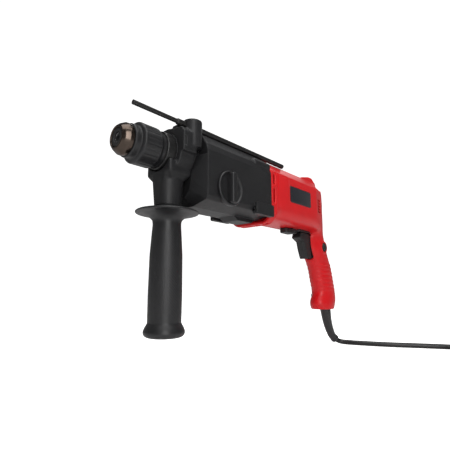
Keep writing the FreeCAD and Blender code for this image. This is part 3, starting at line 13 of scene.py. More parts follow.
import bmesh
import bpy
import numpy as np
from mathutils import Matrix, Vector


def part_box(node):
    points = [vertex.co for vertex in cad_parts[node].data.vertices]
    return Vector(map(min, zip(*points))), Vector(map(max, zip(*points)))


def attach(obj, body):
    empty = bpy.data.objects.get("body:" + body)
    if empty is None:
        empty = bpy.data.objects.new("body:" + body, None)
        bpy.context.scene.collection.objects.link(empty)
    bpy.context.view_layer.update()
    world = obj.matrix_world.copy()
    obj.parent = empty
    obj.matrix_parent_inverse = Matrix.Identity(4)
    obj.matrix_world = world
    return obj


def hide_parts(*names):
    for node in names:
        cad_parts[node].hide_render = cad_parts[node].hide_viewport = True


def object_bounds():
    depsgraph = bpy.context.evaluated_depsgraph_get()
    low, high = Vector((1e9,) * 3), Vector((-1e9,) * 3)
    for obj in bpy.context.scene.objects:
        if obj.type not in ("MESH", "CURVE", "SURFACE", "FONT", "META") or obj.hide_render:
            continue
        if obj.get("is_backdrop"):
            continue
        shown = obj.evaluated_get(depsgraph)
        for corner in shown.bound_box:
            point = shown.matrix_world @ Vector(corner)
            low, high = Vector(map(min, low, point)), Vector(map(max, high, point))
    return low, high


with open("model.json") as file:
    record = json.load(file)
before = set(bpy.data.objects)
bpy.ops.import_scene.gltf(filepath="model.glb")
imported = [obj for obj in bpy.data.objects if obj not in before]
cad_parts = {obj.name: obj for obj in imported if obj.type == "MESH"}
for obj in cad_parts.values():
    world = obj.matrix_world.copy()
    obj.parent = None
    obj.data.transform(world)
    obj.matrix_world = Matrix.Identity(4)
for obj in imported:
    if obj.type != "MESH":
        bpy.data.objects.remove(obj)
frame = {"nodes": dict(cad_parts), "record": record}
solid_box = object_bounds()
record = frame["record"]

# %% [markdown]
# ## One ruler for the whole tool
#
# The tool is easiest to think about from the mouth of its chuck: x millimetres back along the
# spindle, y to the operator's right, z up. We could type metres everywhere, but a small ruler
# function keeps every later number readable and ties it to two things the solids know: where
# the chuck's nose is and how high the spindle runs.

# %% The ruler
joint_at = {j["name"]: Vector(j["pos_m"]) for j in record["behaviour"]["joints"] if "pos_m" in j}
nose_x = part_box("chuck_nose")[0].x
spindle_z = joint_at["spindle_spin"].z
MM = 0.001


def place(x, y, z):
    """A point given in millimetres from the chuck's mouth, in metres in the part's frame."""
    return Vector((nose_x + x * MM, y * MM, spindle_z + z * MM))


print("chuck mouth at", tuple(round(c, 4) for c in place(0, 0, 0)))

# %% [markdown]
# ## The camera
#
# The tool is seen from its front left and a little below, with a fairly wide lens, so the
# chuck looms and the grip recedes. A longer lens further away would flatten it. The camera
# has no roll; only its place, heading and upward tilt matter.

# %% Set the camera
camera_data = bpy.data.cameras.new("camera")
camera_data.lens = 28.0
camera_data.sensor_width = 36.0
camera_data.clip_start = 0.01
camera = bpy.data.objects.new("camera", camera_data)
camera.location = place(-161.7, -289.3, -138.8)
heading = Vector((0.727, 0.666, 0.1668))
camera.rotation_euler = heading.to_track_quat("-Z", "Y").to_euler()
bpy.context.collection.objects.link(camera)
bpy.context.scene.camera = camera
bpy.context.scene.view_settings.view_transform = "Standard"
print("camera", tuple(round(c, 3) for c in camera.location))

# %% [markdown]
# ## The mains lead
#
# A power tool's lead is about three metres of rubber-sheathed cord. It drops out of the grip's
# sleeve, kinks where it meets the bench, runs off behind and is wound up with a tie, as one
# stores it. A curve object is right for it: one smooth line with a round bevel is exactly what
# a cord is. We give the line listed points for the free run, and a loop adds the nine
# turns of the coil, three wide and three high. A NURBS line of order 3 never passes outside
# its points, so it stays on the bench.

# %% Points of the free run
LEAD = [(433.5, -2.5, -231.8), (439.5, -6.0, -236.0), (444.5, -14.0, -237.5), (447.7, -28.3, -237.5),
        (455.5, -51.0, -237.5), (470.0, -85.0, -237.5), (491.0, -121.0, -237.5),
        (510.0, -157.0, -237.5), (524.5, -190.0, -237.5), (533.0, -212.0, -237.5)]
TAIL = [(449.0, -301.5, -237.0), (438.0, -299.0, -233.5), (426.0, -297.2, -228.0),
        (413.0, -296.5, -224.6)]
CORD_R = 4.0
COIL_INSET = 5             # from the coil's rim to the middle of its outer turn
coil_low, coil_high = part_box("cord_coil")
coil_mid = (coil_low + coil_high) / 2
coil_r = (coil_high.x - coil_low.x) / 2 - COIL_INSET * MM

# %% [markdown]
# ### Winding the coil
#
# Each turn has its own seat in a three by three stack. The list of seats snakes through the
# stack so that every turn lies beside the last one, and the cord slides from seat to seat over
# the last part of each turn. Points sit a little outside the true circle because the curve
# cuts inside them.

# %% Wind the coil
SEATS = [(0, 0), (1, 0), (2, 0), (2, 1), (2, 2), (1, 2), (1, 1), (0, 1), (0, 2)]
PER_TURN = 14
SLIDE_FROM, SLIDE_OVER = 0.72, 0.28     # the part of a turn in which the cord changes seat
SHORT_BY = 11                           # steps left off the last turn, where the cord leaves
LEAVING = [(2.0, 1.0), (7.0, 5.0), (10.5, 11.0), (11.5, 15.5)]     # mm outwards, mm down
LEAVING_STEP = 0.55
outside = 1 / (0.75 + 0.25 * math.cos(2 * math.pi / PER_TURN))


def seat(turn):
    inward, up = SEATS[min(turn, len(SEATS) - 1)]
    return coil_r - inward * 2 * CORD_R * MM, coil_low.z + (CORD_R + up * 2 * CORD_R) * MM


route = [place(*p) for p in LEAD]
first = math.atan2(route[-1].y - coil_mid.y, route[-1].x - coil_mid.x)
steps = PER_TURN * len(SEATS) - SHORT_BY
for i in range(1, steps + 1):
    turn, part = divmod(i / PER_TURN, 1.0)
    slide = min(1.0, max(0.0, (part - SLIDE_FROM) / SLIDE_OVER))
    r0, z0 = seat(int(turn))
    r1, z1 = seat(int(turn) + 1)
    r = (r0 + (r1 - r0) * slide) * outside
    angle = first - 2 * math.pi * i / PER_TURN
    route.append(Vector((coil_mid.x + r * math.cos(angle), coil_mid.y + r * math.sin(angle),
                         z0 + (z1 - z0) * slide)))
top_r, top_z = seat(len(SEATS) - 1)
for k, (grow, drop) in enumerate(LEAVING):
    angle = first - 2 * math.pi * (steps + (k + 1) * LEAVING_STEP) / PER_TURN
    r = top_r + grow * MM
    route.append(Vector((coil_mid.x + r * math.cos(angle), coil_mid.y + r * math.sin(angle),
                         top_z - drop * MM)))
route += [place(*p) for p in TAIL]
print("route points", len(route), "last turn ends at", round(math.degrees(angle) % 360), "degrees")

# %% Draw the lead
lead_curve = bpy.data.curves.new("mains_lead", "CURVE")
lead_curve.dimensions = "3D"
lead_curve.bevel_depth = CORD_R * MM
lead_curve.bevel_resolution = 5
lead_curve.resolution_u = 8
lead_curve.use_fill_caps = True
line = lead_curve.splines.new("NURBS")
line.points.add(len(route) - 1)
for point, at in zip(line.points, route):
    point.co = (*at, 1.0)
line.order_u = 3
line.use_endpoint_u = True
mains_lead = bpy.data.objects.new("mains_lead", lead_curve)
bpy.context.collection.objects.link(mains_lead)

# %% [markdown]
# ## Floor and light
#
# A pale floor under a pale studio keeps attention on the tool. Three big soft lamps stand in
# for the studio: one overhead, one low at the front left that draws the long soft streaks on
# the black handle, and one behind that lifts the upper edges. Big lamps give broad, soft
# highlights; small ones would give hard sparks. The floor is a round sheet of paper that lies
# just under the lead and curls up far from the tool, so that no horizon shows.

# %% Build the stage
def by_ray(tree, socket, lit, seen):
    """Strength seen by the camera, against the strength that lights the tool."""
    ray = tree.nodes.new("ShaderNodeLightPath")
    level = tree.nodes.new("ShaderNodeMapRange")
    level.inputs["To Min"].default_value = lit
    level.inputs["To Max"].default_value = seen
    tree.links.new(ray.outputs["Is Camera Ray"], level.inputs["Value"])
    tree.links.new(level.outputs["Result"], socket)


def plain_mesh(name, verts, faces):
    mesh = bpy.data.meshes.new(name)
    mesh.from_pydata([tuple(v) for v in verts], [], faces)
    mesh.update()
    piece = bpy.data.objects.new(name, mesh)
    bpy.context.collection.objects.link(piece)
    return piece


PAPER_GAP = 0.0002         # metres from the lowest solid down to the paper
SWEEP_START = 1.6          # metres from the tool to where the paper starts to curl up
SWEEP_TALL = 3.0           # metres, the curl's radius
SWEEP_STEPS = 16
SWEEP_AROUND = 64
floor_z = solid_box[0][2] - PAPER_GAP
paper_points = [(0.0, 0.0, floor_z)]
paper_faces = []
paper_profile = [(SWEEP_START, 0.0)]
for step in range(1, SWEEP_STEPS + 1):
    curl = math.pi / 2 * step / SWEEP_STEPS
    paper_profile.append((SWEEP_START + SWEEP_TALL * math.sin(curl), SWEEP_TALL * (1 - math.cos(curl))))
for reach, rise in paper_profile:
    for k in range(SWEEP_AROUND):
        angle = 2 * math.pi * k / SWEEP_AROUND
        paper_points.append((reach * math.cos(angle), reach * math.sin(angle), floor_z + rise))
for k in range(SWEEP_AROUND):
    after = (k + 1) % SWEEP_AROUND
    paper_faces.append((0, 1 + k, 1 + after))
    for ring in range(len(paper_profile) - 1):
        low, high = 1 + ring * SWEEP_AROUND, 1 + (ring + 1) * SWEEP_AROUND
        paper_faces.append((low + k, high + k, high + after, low + after))
floor = plain_mesh("floor", paper_points, paper_faces)
for face in floor.data.polygons:
    face.use_smooth = True
paper = bpy.data.materials.new("studio_paper")
paper.use_nodes = True
paper_shader = paper.node_tree.nodes["Principled BSDF"]
paper_shader.inputs["Base Color"].default_value = (0.92, 0.92, 0.92, 1)
paper_shader.inputs["Roughness"].default_value = 0.9
paper_shader.inputs["Specular IOR Level"].default_value = 0.1
paper_shader.inputs["Emission Color"].default_value = (1, 1, 1, 1)
by_ray(paper.node_tree, paper_shader.inputs["Emission Strength"], 0.06, 1.0)
floor.data.materials.append(paper)
floor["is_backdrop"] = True

studio = bpy.data.worlds.new("studio")
bpy.context.scene.world = studio
studio.use_nodes = True
paper_light = studio.node_tree.nodes["Background"]
paper_light.inputs["Color"].default_value = (1, 1, 1, 1)
by_ray(studio.node_tree, paper_light.inputs["Strength"], 0.10, 1.05)


# %% Hang the lamps
def soft_lamp(name, at, aim, wide, tall, watts):
    data = bpy.data.lights.new(name, "AREA")
    data.shape = "RECTANGLE"
    data.size = wide
    data.size_y = tall
    data.energy = watts
    lamp = bpy.data.objects.new(name, data)
    lamp.location = at
    lamp.rotation_euler = (Vector(aim) - Vector(at)).to_track_quat("-Z", "Y").to_euler()
    bpy.context.collection.objects.link(lamp)
    return lamp


middle = place(200, 0, -20)
soft_lamp("overhead_lamp", (middle.x - 0.2, -0.3, 1.3), middle, 1.4, 1.0, 13)
soft_lamp("front_lamp", (-0.9, -1.0, 0.35), middle, 0.35, 1.2, 8)
soft_lamp("rear_lamp", (0.8, 0.7, 0.9), middle, 0.9, 0.9, 4)
print("floor at", round(floor_z, 4))

# %% [markdown]
# ## Finishes
#
# Nearly every surface here is one of a few materials: grained black castings, glossy red
# moulding, dull rubber, bronzed or plain steel, copper, and the smooth sheath of the lead. One
# recipe makes them all: a colour that drifts a little between two shades, a gloss that drifts
# too, a fine grain in the surface, and paler worn edges. The drift and the grain come from
# noise that is fixed to the part, so they stay put when the camera moves. A painted picture
# could do the same, but it would have to be unwrapped onto sixty solids.

# %% A recipe for finishes
def finish(name, dark, light, rough, metal=0.0, grain=0.0, grain_size=0.7, drift_size=14.0,
           worn=None, edge=0.6, coat=0.0, rough_drift=0.08,
           shine=0.5):
    """dark and light are the two shades; grain is its depth in mm and sizes are in mm."""
    material = bpy.data.materials.new(name)
    material.use_nodes = True
    nodes, links = material.node_tree.nodes, material.node_tree.links
    shader = nodes["Principled BSDF"]
    shader.inputs["Metallic"].default_value = metal
    shader.inputs["Specular IOR Level"].default_value = shine
    shader.inputs["Coat Weight"].default_value = coat
    shader.inputs["Coat Roughness"].default_value = 0.12
    where = nodes.new("ShaderNodeTexCoord")

    def noise(size, detail):
        node = nodes.new("ShaderNodeTexNoise")
        node.inputs["Scale"].default_value = 1000.0 / size
        node.inputs["Detail"].default_value = detail
        links.new(where.outputs["Object"], node.inputs["Vector"])
        return node

    def blend(amount, a, b):
        node = nodes.new("ShaderNodeMix")
        node.data_type = "RGBA"
        links.new(amount, node.inputs[0])
        for socket, value in ((node.inputs[6], a), (node.inputs[7], b)):
            if isinstance(value, tuple):
                socket.default_value = (*value, 1)
            else:
                links.new(value, socket)
        return node.outputs[2]

    drift = noise(drift_size, 4.0)
    colour = blend(drift.outputs["Fac"], dark, light)
    spread = nodes.new("ShaderNodeMapRange")
    spread.inputs["To Min"].default_value = rough - rough_drift
    spread.inputs["To Max"].default_value = rough + rough_drift
    links.new(noise(drift_size * 0.35, 6.0).outputs["Fac"], spread.inputs["Value"])
    links.new(spread.outputs["Result"], shader.inputs["Roughness"])
    rounding = nodes.new("ShaderNodeBevel")
    rounding.samples = 4
    rounding.inputs["Radius"].default_value = edge * MM
    normal = rounding.outputs["Normal"]
    if worn:
        flat = nodes.new("ShaderNodeNewGeometry")
        along = nodes.new("ShaderNodeVectorMath")
        along.operation = "DOT_PRODUCT"
        links.new(flat.outputs["Normal"], along.inputs[0])
        links.new(rounding.outputs["Normal"], along.inputs[1])
        wear = nodes.new("ShaderNodeMapRange")
        wear.inputs["From Min"].default_value = 0.995
        wear.inputs["From Max"].default_value = 0.80
        wear.inputs["To Max"].default_value = 0.75
        links.new(along.outputs["Value"], wear.inputs["Value"])
        colour = blend(wear.outputs["Result"], colour, worn)
    if grain:
        bump = nodes.new("ShaderNodeBump")
        bump.inputs["Strength"].default_value = 0.6
        bump.inputs["Distance"].default_value = grain * MM
        links.new(noise(grain_size, 3.0).outputs["Fac"], bump.inputs["Height"])
        links.new(normal, bump.inputs["Normal"])
        normal = bump.outputs["Normal"]
    links.new(colour, shader.inputs["Base Color"])
    links.new(normal, shader.inputs["Normal"])
    return material


# %% Mix the finishes
black_casting = finish("grained_black_casting", (0.009, 0.009, 0.010), (0.016, 0.016, 0.017), 0.46,
                       grain=0.10, grain_size=0.8, worn=(0.05, 0.05, 0.053), edge=1.2,
                       shine=0.35)
red_moulding = finish("glossy_red_moulding", (0.60, 0.004, 0.008), (0.72, 0.007, 0.011), 0.36,
                      grain=0.03, grain_size=1.6, drift_size=40, worn=(0.80, 0.06, 0.04), edge=1.0,
                      coat=0.05, shine=0.35)
black_moulding = finish("satin_black_moulding", (0.007, 0.007, 0.008), (0.013, 0.013, 0.014), 0.42,
                        grain=0.05, grain_size=0.6, worn=(0.05, 0.05, 0.052), edge=0.8)
soft_rubber = finish("dull_black_rubber", (0.007, 0.007, 0.007), (0.013, 0.012, 0.012), 0.55,
                     grain=0.05, grain_size=0.5, edge=0.7)
gloss_rubber = finish("glossy_black_rubber", (0.006, 0.006, 0.007), (0.012, 0.011, 0.012), 0.22,
                      grain=0.02, grain_size=2.5, drift_size=20, edge=0.6, coat=0.3)
cord_sheath = finish("cord_sheath", (0.006, 0.006, 0.006), (0.010, 0.010, 0.010), 0.36,
                     grain=0.03, grain_size=0.9, edge=0.3)
bronzed_steel = finish("bronzed_steel", (0.055, 0.042, 0.034), (0.11, 0.085, 0.070), 0.22, metal=1.0,
                       grain=0.01, grain_size=0.5, drift_size=8, worn=(0.42, 0.33, 0.27), edge=0.4)
plain_steel = finish("turned_steel", (0.42, 0.42, 0.43), (0.58, 0.58, 0.59), 0.30, metal=1.0,
                     grain=0.01, grain_size=0.4, drift_size=6, worn=(0.75, 0.75, 0.76), edge=0.4)
black_steel = finish("blackened_steel", (0.020, 0.020, 0.021), (0.040, 0.039, 0.038), 0.38, metal=0.6,
                     grain=0.02, grain_size=0.4, drift_size=6, worn=(0.16, 0.16, 0.16), edge=0.4)
cast_aluminium = finish("cast_aluminium", (0.45, 0.46, 0.47), (0.60, 0.61, 0.62), 0.42, metal=1.0,
                        grain=0.05, grain_size=0.9, drift_size=8, edge=0.8)
wound_copper = finish("enamelled_copper", (0.40, 0.15, 0.07), (0.62, 0.28, 0.13), 0.30, metal=0.9,
                      grain=0.12, grain_size=0.9, drift_size=4, edge=0.5)
plain_brass = finish("plain_brass", (0.55, 0.40, 0.16), (0.72, 0.55, 0.26), 0.28, metal=1.0,
                     grain=0.01, grain_size=0.5, drift_size=5, worn=(0.85, 0.72, 0.45), edge=0.4)
pressed_carbon = finish("pressed_carbon", (0.02, 0.02, 0.022), (0.045, 0.045, 0.048), 0.6,
                        grain=0.05, grain_size=0.5, edge=0.4)
plate_film = finish("gloss_plate_film", (0.004, 0.005, 0.010), (0.007, 0.008, 0.014), 0.16,
                    grain=0.004, grain_size=3.0, drift_size=20, worn=(0.03, 0.03, 0.04), edge=0.5,
                    coat=0.5, rough_drift=0.03)
print("finishes", len(bpy.data.materials))

# %% [markdown]
# ## Finish the solids that keep their own shape
#
# Many solids are already right: gears, shafts, screws, the depth rod. They only need their
# finish. The record names a material slot for every solid, so one table from slot to finish
# covers them, and a few solids that differ from their slot are set after it.

# %% Hand out the finishes
slot_finish = {
    "black_castings": black_casting, "red_shell": red_moulding, "black_rubber": soft_rubber,
    "black_plastic": black_moulding, "dark_bronze": bronzed_steel, "steel": plain_steel,
    "blackened_steel": black_steel, "aluminium": cast_aluminium, "copper": wound_copper,
    "brass": plain_brass, "carbon": pressed_carbon, "plate": plate_film, "cord": cord_sheath,
}
for part in record["subparts"]:
    solid = frame["nodes"][part["node"]]
    solid.data.materials.clear()
    solid.data.materials.append(slot_finish[part["material_slot"]])
print("solids finished", len(record["subparts"]))

# %% [markdown]
# ## Helpers for new pieces
#
# Some pieces deserve more than the solid gives: the handle's fine diamonds, the flowing clamp,
# the clamshell's soft moulded corners. Three ways of making a mesh cover them. Turning spins an
# outline round an axis, which suits chucks, knobs and handles. Sweeping runs a changing section
# along a line, which suits the cord's sleeve. And moulding melts several solids into one skin
# and relaxes it, so that sharp joins become the fillets that a mould leaves.

# %% Put a piece in its place
def dress(piece, material, body, slot, *stands_for):
    """Gives a piece its finish, its body and the solids it stands for."""
    piece.data.materials.clear()
    piece.data.materials.append(material)
    if piece.type == "MESH":
        for face in piece.data.polygons:
            face.use_smooth = True
        piece.data.set_sharp_from_angle(angle=math.radians(38))
    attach(piece, body)
    if stands_for:
        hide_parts(*stands_for)
    print("made", piece.name, len(piece.data.polygons) if piece.type == "MESH" else "curve")
    return piece


# %% Soften an outline
def eased(outline, reach=0.6, steps=3):
    """Rounds the corners of an open outline of (along, radius) pairs in mm."""
    points = [Vector((a, r)) for a, r in outline]
    out = [points[0]]
    for before, corner, after in zip(points, points[1:], points[2:]):
        back = (before - corner)
        ahead = (after - corner)
        cut = min(reach, 0.45 * back.length, 0.45 * ahead.length)
        start = corner + back.normalized() * cut
        end = corner + ahead.normalized() * cut
        for k in range(steps + 1):
            t = k / steps
            out.append((1 - t) ** 2 * start + 2 * t * (1 - t) * corner + t * t * end)
    out.append(points[-1])
    return [(p.x, p.y) for p in out]


# %% Add rings to an outline
def ringed(outline, step, low=-1e9, high=1e9):
    """Adds a pair every step mm or so, where the outline lies between low and high along it."""
    out = []
    for (a0, r0), (a1, r1) in zip(outline, outline[1:]):
        parts = max(1, int((a1 - a0) / step)) if low < a0 < high or low < a1 < high else 1
        out += [(a0 + (a1 - a0) * k / parts, r0 + (r1 - r0) * k / parts) for k in range(parts)]
    return out + [outline[-1]]


# %% Put a finished mesh in the scene
def as_piece(name, bm):
    mesh = bpy.data.meshes.new(name)
    bm.to_mesh(mesh)
    bm.free()
    piece = bpy.data.objects.new(name, mesh)
    bpy.context.collection.objects.link(piece)
    return piece


# %% Turn a piece
def turned(name, outline, centre, along, around=96, relief=None):
    """Spins (along, radius) pairs round an axis through centre; both in mm.

    along and its two cross directions are vectors; relief(along, angle) adds to the radius."""
    along = Vector(along).normalized()
    cross = along.orthogonal().normalized()
    other = along.cross(cross)
    bm = bmesh.new()
    rings = []
    for a, r in outline:
        ring = []
        for k in range(around):
            angle = 2 * math.pi * k / around
            reach = r + (relief(a, angle) if relief and r > 0.01 else 0.0)
            way = cross * math.cos(angle) + other * math.sin(angle)
            ring.append(bm.verts.new(centre + along * (a * MM) + way * (max(reach, 0.0) * MM)))
        rings.append(ring)
    for one, two in zip(rings, rings[1:]):
        for k in range(around):
            bm.faces.new((one[k], one[(k + 1) % around], two[(k + 1) % around], two[k]))
    bmesh.ops.remove_doubles(bm, verts=bm.verts, dist=1e-7)
    bmesh.ops.recalc_face_normals(bm, faces=bm.faces)
    return as_piece(name, bm)


# %% Relax a skin
def relax(points, edges, rounds, hold):
    """Draws every point towards its neighbours' middle; hold is 0 for free, 1 for fixed."""
    count = np.bincount(edges.ravel(), minlength=len(points)).astype(float)
    free = (0.55 * (1 - hold))[:, None]
    for step in range(rounds):
        middle = np.empty_like(points)
        for axis in range(3):
            near = np.bincount(edges[:, 0], points[edges[:, 1], axis], len(points))
            near += np.bincount(edges[:, 1], points[edges[:, 0], axis], len(points))
            middle[:, axis] = near / count
        points = points + free * (middle - points)
    return points


# %% Mould several solids into one skin
def moulded(name, solids, grid, rounds, hold=None, sculpt=None):
    """grid is the skin's mesh size in mm. hold and sculpt work on points in mm from the mouth."""
    bm = bmesh.new()
    for solid in solids:
        bm.from_mesh(frame["nodes"][solid].data)
    piece = as_piece(name, bm)
    skin = piece.modifiers.new("skin", "REMESH")
    skin.mode = "VOXEL"
    skin.voxel_size = grid * MM
    bpy.context.view_layer.update()
    mesh = bpy.data.meshes.new_from_object(piece.evaluated_get(bpy.context.evaluated_depsgraph_get()))
    piece.modifiers.clear()
    piece.data = mesh
    points = np.empty(len(mesh.vertices) * 3)
    mesh.vertices.foreach_get("co", points)
    points = points.reshape(-1, 3)
    edges = np.empty(len(mesh.edges) * 2, dtype=np.int32)
    mesh.edges.foreach_get("vertices", edges)
    edges = edges.reshape(-1, 2)
    origin = np.array(place(0, 0, 0))
    fixed = hold((points - origin) / MM) if hold else np.zeros(len(points))
    points = relax(points, edges, rounds, fixed)
    mesh.vertices.foreach_set("co", points.ravel())
    mesh.update()
    if sculpt:
        normals = np.empty(len(points) * 3)
        mesh.vertices.foreach_get("normal", normals)
        normals = normals.reshape(-1, 3)
        points = points + normals * (sculpt((points - origin) / MM, normals) * MM)[:, None]
        mesh.vertices.foreach_set("co", points.ravel())
        mesh.update()
    return piece


def ramp(value, start, end):
    """0 before start, 1 after end, smooth between; works on arrays."""
    t = np.clip((value - start) / (end - start), 0.0, 1.0)
    return t * t * (3 - 2 * t)


def inside(value, low, high, soft=0.5):
    """1 between low and high, fading to 0 over soft on each side."""
    return ramp(value, low - soft, low + soft) * (1 - ramp(value, high - soft, high + soft))

# %% [markdown]
# ## The red clamshell
#
# The motor housing and grip are two moulded halves that meet on the middle plane. Real
# mouldings have generous corners, and the barrel flows into the grip. We melt both halves into
# one skin and relax it, but hold the edge at the black casting, the air slots, the trigger's
# opening and the plate's recess still, so that they stay crisp. Then the skin is sculpted along
# its normals: a raised collar at the joint, a slightly proud front panel, ribs for the fingers
# and a hairline groove where the halves meet.

# %% Mould the clamshell
joint_x = (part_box("gear_housing")[1].x - nose_x) / MM
SLOT_MID = joint_x + 7.0


def shell_hold(p):
    x, y, z = p.T
    belly = ramp(-z, 27, 34) * ramp(x, 222, 230) * (1 - ramp(-z, 66, 84))
    rear = ramp(x, 350, 358) * ramp(-z, 8, 16) * (1 - ramp(-z, 66, 84))
    held = 0.98 * (1 - np.maximum(belly, rear))
    held = np.maximum(held, 1 - ramp(x, joint_x + 0.8, joint_x + 2.5))
    held = np.maximum(held, 0.97 * inside(x, SLOT_MID - 4, SLOT_MID + 4, 0.8))
    held = np.maximum(held, 0.99 * inside(x, 317, 365, 1.5) * inside(z, -100, -56, 1.0)
                      * inside(np.abs(y), 5, 9.5, 1.0))
    held = np.maximum(held, 0.99 * inside(x, 331, 351, 1.0) * inside(z, -28, -5, 0.8) * (np.abs(y) > 20))
    held = np.maximum(held, 0.98 * (np.hypot(x - 381, z + 78) < 12) * (y < -10))
    held = np.maximum(held, 0.98 * inside(x, 249, 309, 1.0) * inside(z, -27, -1, 1.0) * (y < -33))
    return held


def shell_shape(p, n):
    x, y, z = p.T
    side = np.abs(n[:, 1])
    out = 0.8 * (1 - ramp(x, 216.0, 217.5)) * ramp(x, joint_x, joint_x + 1.0)
    out += 0.7 * (1 - ramp(x, 246.0, 248.0)) * ramp(x, 218.5, 221) * side * ramp(z, -34, -8) * (z < 10)
    ribs = 0.5 + 0.5 * np.cos(2 * math.pi * (z + 106) / 7.0)
    out += 0.55 * ribs * inside(z, -148, -103, 4.0) * ramp(side, 0.35, 0.8)
    out -= 0.5 * np.exp(-(y / 0.45) ** 2) * (side < 0.6)
    return out


red_shell = moulded("red_clamshell", ["housing_left", "housing_right"], 0.9, 360, shell_hold, shell_shape)
dress(red_shell, red_moulding, "housing", "red_shell", "housing_left", "housing_right")

# %% [markdown]
# ## The chuck
#
# A keyless chuck shows three things: a bronzed nose that guards the locking balls, a black
# sleeve that is pulled back to let go of the bit, and a thin steel collar behind it. They are
# all round, so turning fits. The sleeve gets shallow flutes for grip; cutting them as real
# shape, rather than as bump, keeps its outline right in close views.

# %% Turn the nose
chuck_axis = place(0, 0, 0)
nose_outline = eased([(3.0, 9.7), (0.5, 9.7), (0.0, 10.2), (0.0, 11.0), (0.3, 11.8), (2.6, 13.9),
                      (7.0, 16.3), (10.6, 16.3), (11.0, 15.9), (11.0, 11.6)], 0.25, 2)
chuck_nose = turned("chuck_nose_cone", nose_outline, chuck_axis, (1, 0, 0), 128)
dress(chuck_nose, bronzed_steel, "spindle", "dark_bronze", "chuck_nose")

# %% Turn the dust cap
cap_outline = eased([(2.9, 5.4), (1.2, 5.4), (0.75, 6.2), (0.7, 8.6), (1.2, 9.5), (2.9, 9.6)], 0.4, 3)
dust_cap = turned("dust_cap_lip", cap_outline, chuck_axis, (1, 0, 0), 96)
dress(dust_cap, soft_rubber, "spindle", "black_rubber", "dust_cap")


# %% Turn the fluted sleeve
def flutes(a, angle):
    zone = float(inside(np.array(a), 22.5, 38.5, 1.2))
    return -0.28 * zone * max(0.0, math.cos(22 * angle)) ** 2


sleeve_outline = eased([(11.5, 11.6), (11.4, 16.2), (12.2, 17.3), (18.4, 17.3), (19.3, 19.8),
                        (20.6, 21.3), (40.0, 21.3), (43.0, 18.6), (51.3, 18.6), (51.4, 16.9)], 0.7, 3)
chuck_sleeve = turned("chuck_release_sleeve", ringed(sleeve_outline, 1.0), chuck_axis, (1, 0, 0), 352, flutes)
dress(chuck_sleeve, black_moulding, "chuck_release", "black_plastic", "chuck_sleeve")

# %% [markdown]
# ## The side handle
#
# The clamp is one casting: a ring round the tool's neck, a tall lug for the depth rod, and a
# foot that runs down to the grip. Its parts flow into each other, so the moulding helper melts
# and relaxes it. A narrow slit near its front edge lets the ring close.

# %% Mould the clamp
def clamp_hold(p):
    x, y, z = p.T
    bore = 1 - ramp(np.hypot(y, z), 22.4, 23.2)
    rod = 1 - ramp(np.hypot(y + 21.5, z - 29), 4.2, 5.0)
    return np.maximum(bore, np.maximum(rod * (x > 60), 1 - ramp(z, -57.5, -56)))


def clamp_shape(p, n):
    x, y, z = p.T
    slit = inside(x, 60.2, 62.2, 0.35) * inside(z, 2.0, 12.0, 0.6) * (y < -20) * (np.hypot(y, z) > 25)
    return -1.8 * slit


clamp = moulded("handle_clamp_casting", ["handle_clamp"], 0.6, 12, clamp_hold, clamp_shape)
dress(clamp, black_casting, "handle_clamp", "black_plastic", "handle_clamp")


# %% [markdown]
# ### The grip and its diamonds
#
# The grip is a hollow rubbery moulding with a dished guard above the hand and a fat lip below.
# Its palm area is covered with fine raised diamonds. We turn it from an outline with many close
# rings and let two crossing saw-tooth waves raise the skin: where both are high, a diamond
# stands. Cut as shape, the diamonds catch the light the way the real ones do.

# %% Turn the grip
def saw(t):
    return 1.0 - abs(2.0 * (t - math.floor(t)) - 1.0)


def diamonds(a, angle):
    zone = float(inside(np.array(a), 25.0, 112.0, 1.5))
    if zone == 0.0:
        return 0.0
    u = angle * 38 / (2 * math.pi)
    v = a / 2.9
    return 0.34 * zone * (max(0.0, saw(u + v) - 0.18) * max(0.0, saw(u - v) - 0.18) * 1.5 - 0.25)


grip_low, grip_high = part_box("side_grip")
grip_top = (grip_low + grip_high) / 2
grip_top.z = grip_high.z
grip_long = (grip_high.z - grip_low.z) / MM
grip_outline = eased([(0.0, 4.2), (0.0, 14.2), (1.4, 16.3), (3.4, 17.6), (4.6, 22.0), (5.1, 32.2),
                      (6.1, 33.4), (7.3, 33.1), (8.6, 25.5), (11.2, 19.2), (14.7, 15.4), (18.7, 14.8),
                      (51.7, 16.8), (91.7, 17.2), (grip_long - 14, 17.1), (grip_long - 12.4, 17.9),
                      (grip_long - 9.0, 19.9), (grip_long - 5.2, 21.2), (grip_long - 2.0, 20.2),
                      (grip_long, 17.0), (grip_long, 0.0)], 2.2, 4)
close_rings = ringed(grip_outline, 0.48, 22, 115)
side_grip = turned("side_grip_moulding", close_rings, grip_top, (0, 0, -1), 304, diamonds)
dress(side_grip, black_moulding, "side_grip", "black_plastic", "side_grip")

# %% [markdown]
# ## The mode knob
#
# The knob on the left side chooses drilling or hammering. It is a shallow dish with a raised
# rim and a finger bar across its middle. The dish is turned. The bar is a drafted block: we
# make its outline twice, wide at the foot and narrow at the crown, bridge them, and let a bevel
# round the edges.

# %% Build the knob
knob_low, knob_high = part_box("mode_knob")
knob_at = Vector((joint_at["mode_knob_turn"].x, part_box("gear_housing")[0].y + 5.2 * MM,
                  joint_at["mode_knob_turn"].z))
knob_dish = turned("mode_knob_dish", eased([(0.0, 12.0), (0.0, 20.0), (4.4, 20.0), (5.2, 19.2), (5.2, 18.2),
                                            (3.6, 17.2), (2.6, 12.0), (2.4, 0.0)], 0.5, 3),
                   knob_at, (0, -1, 0), 128)


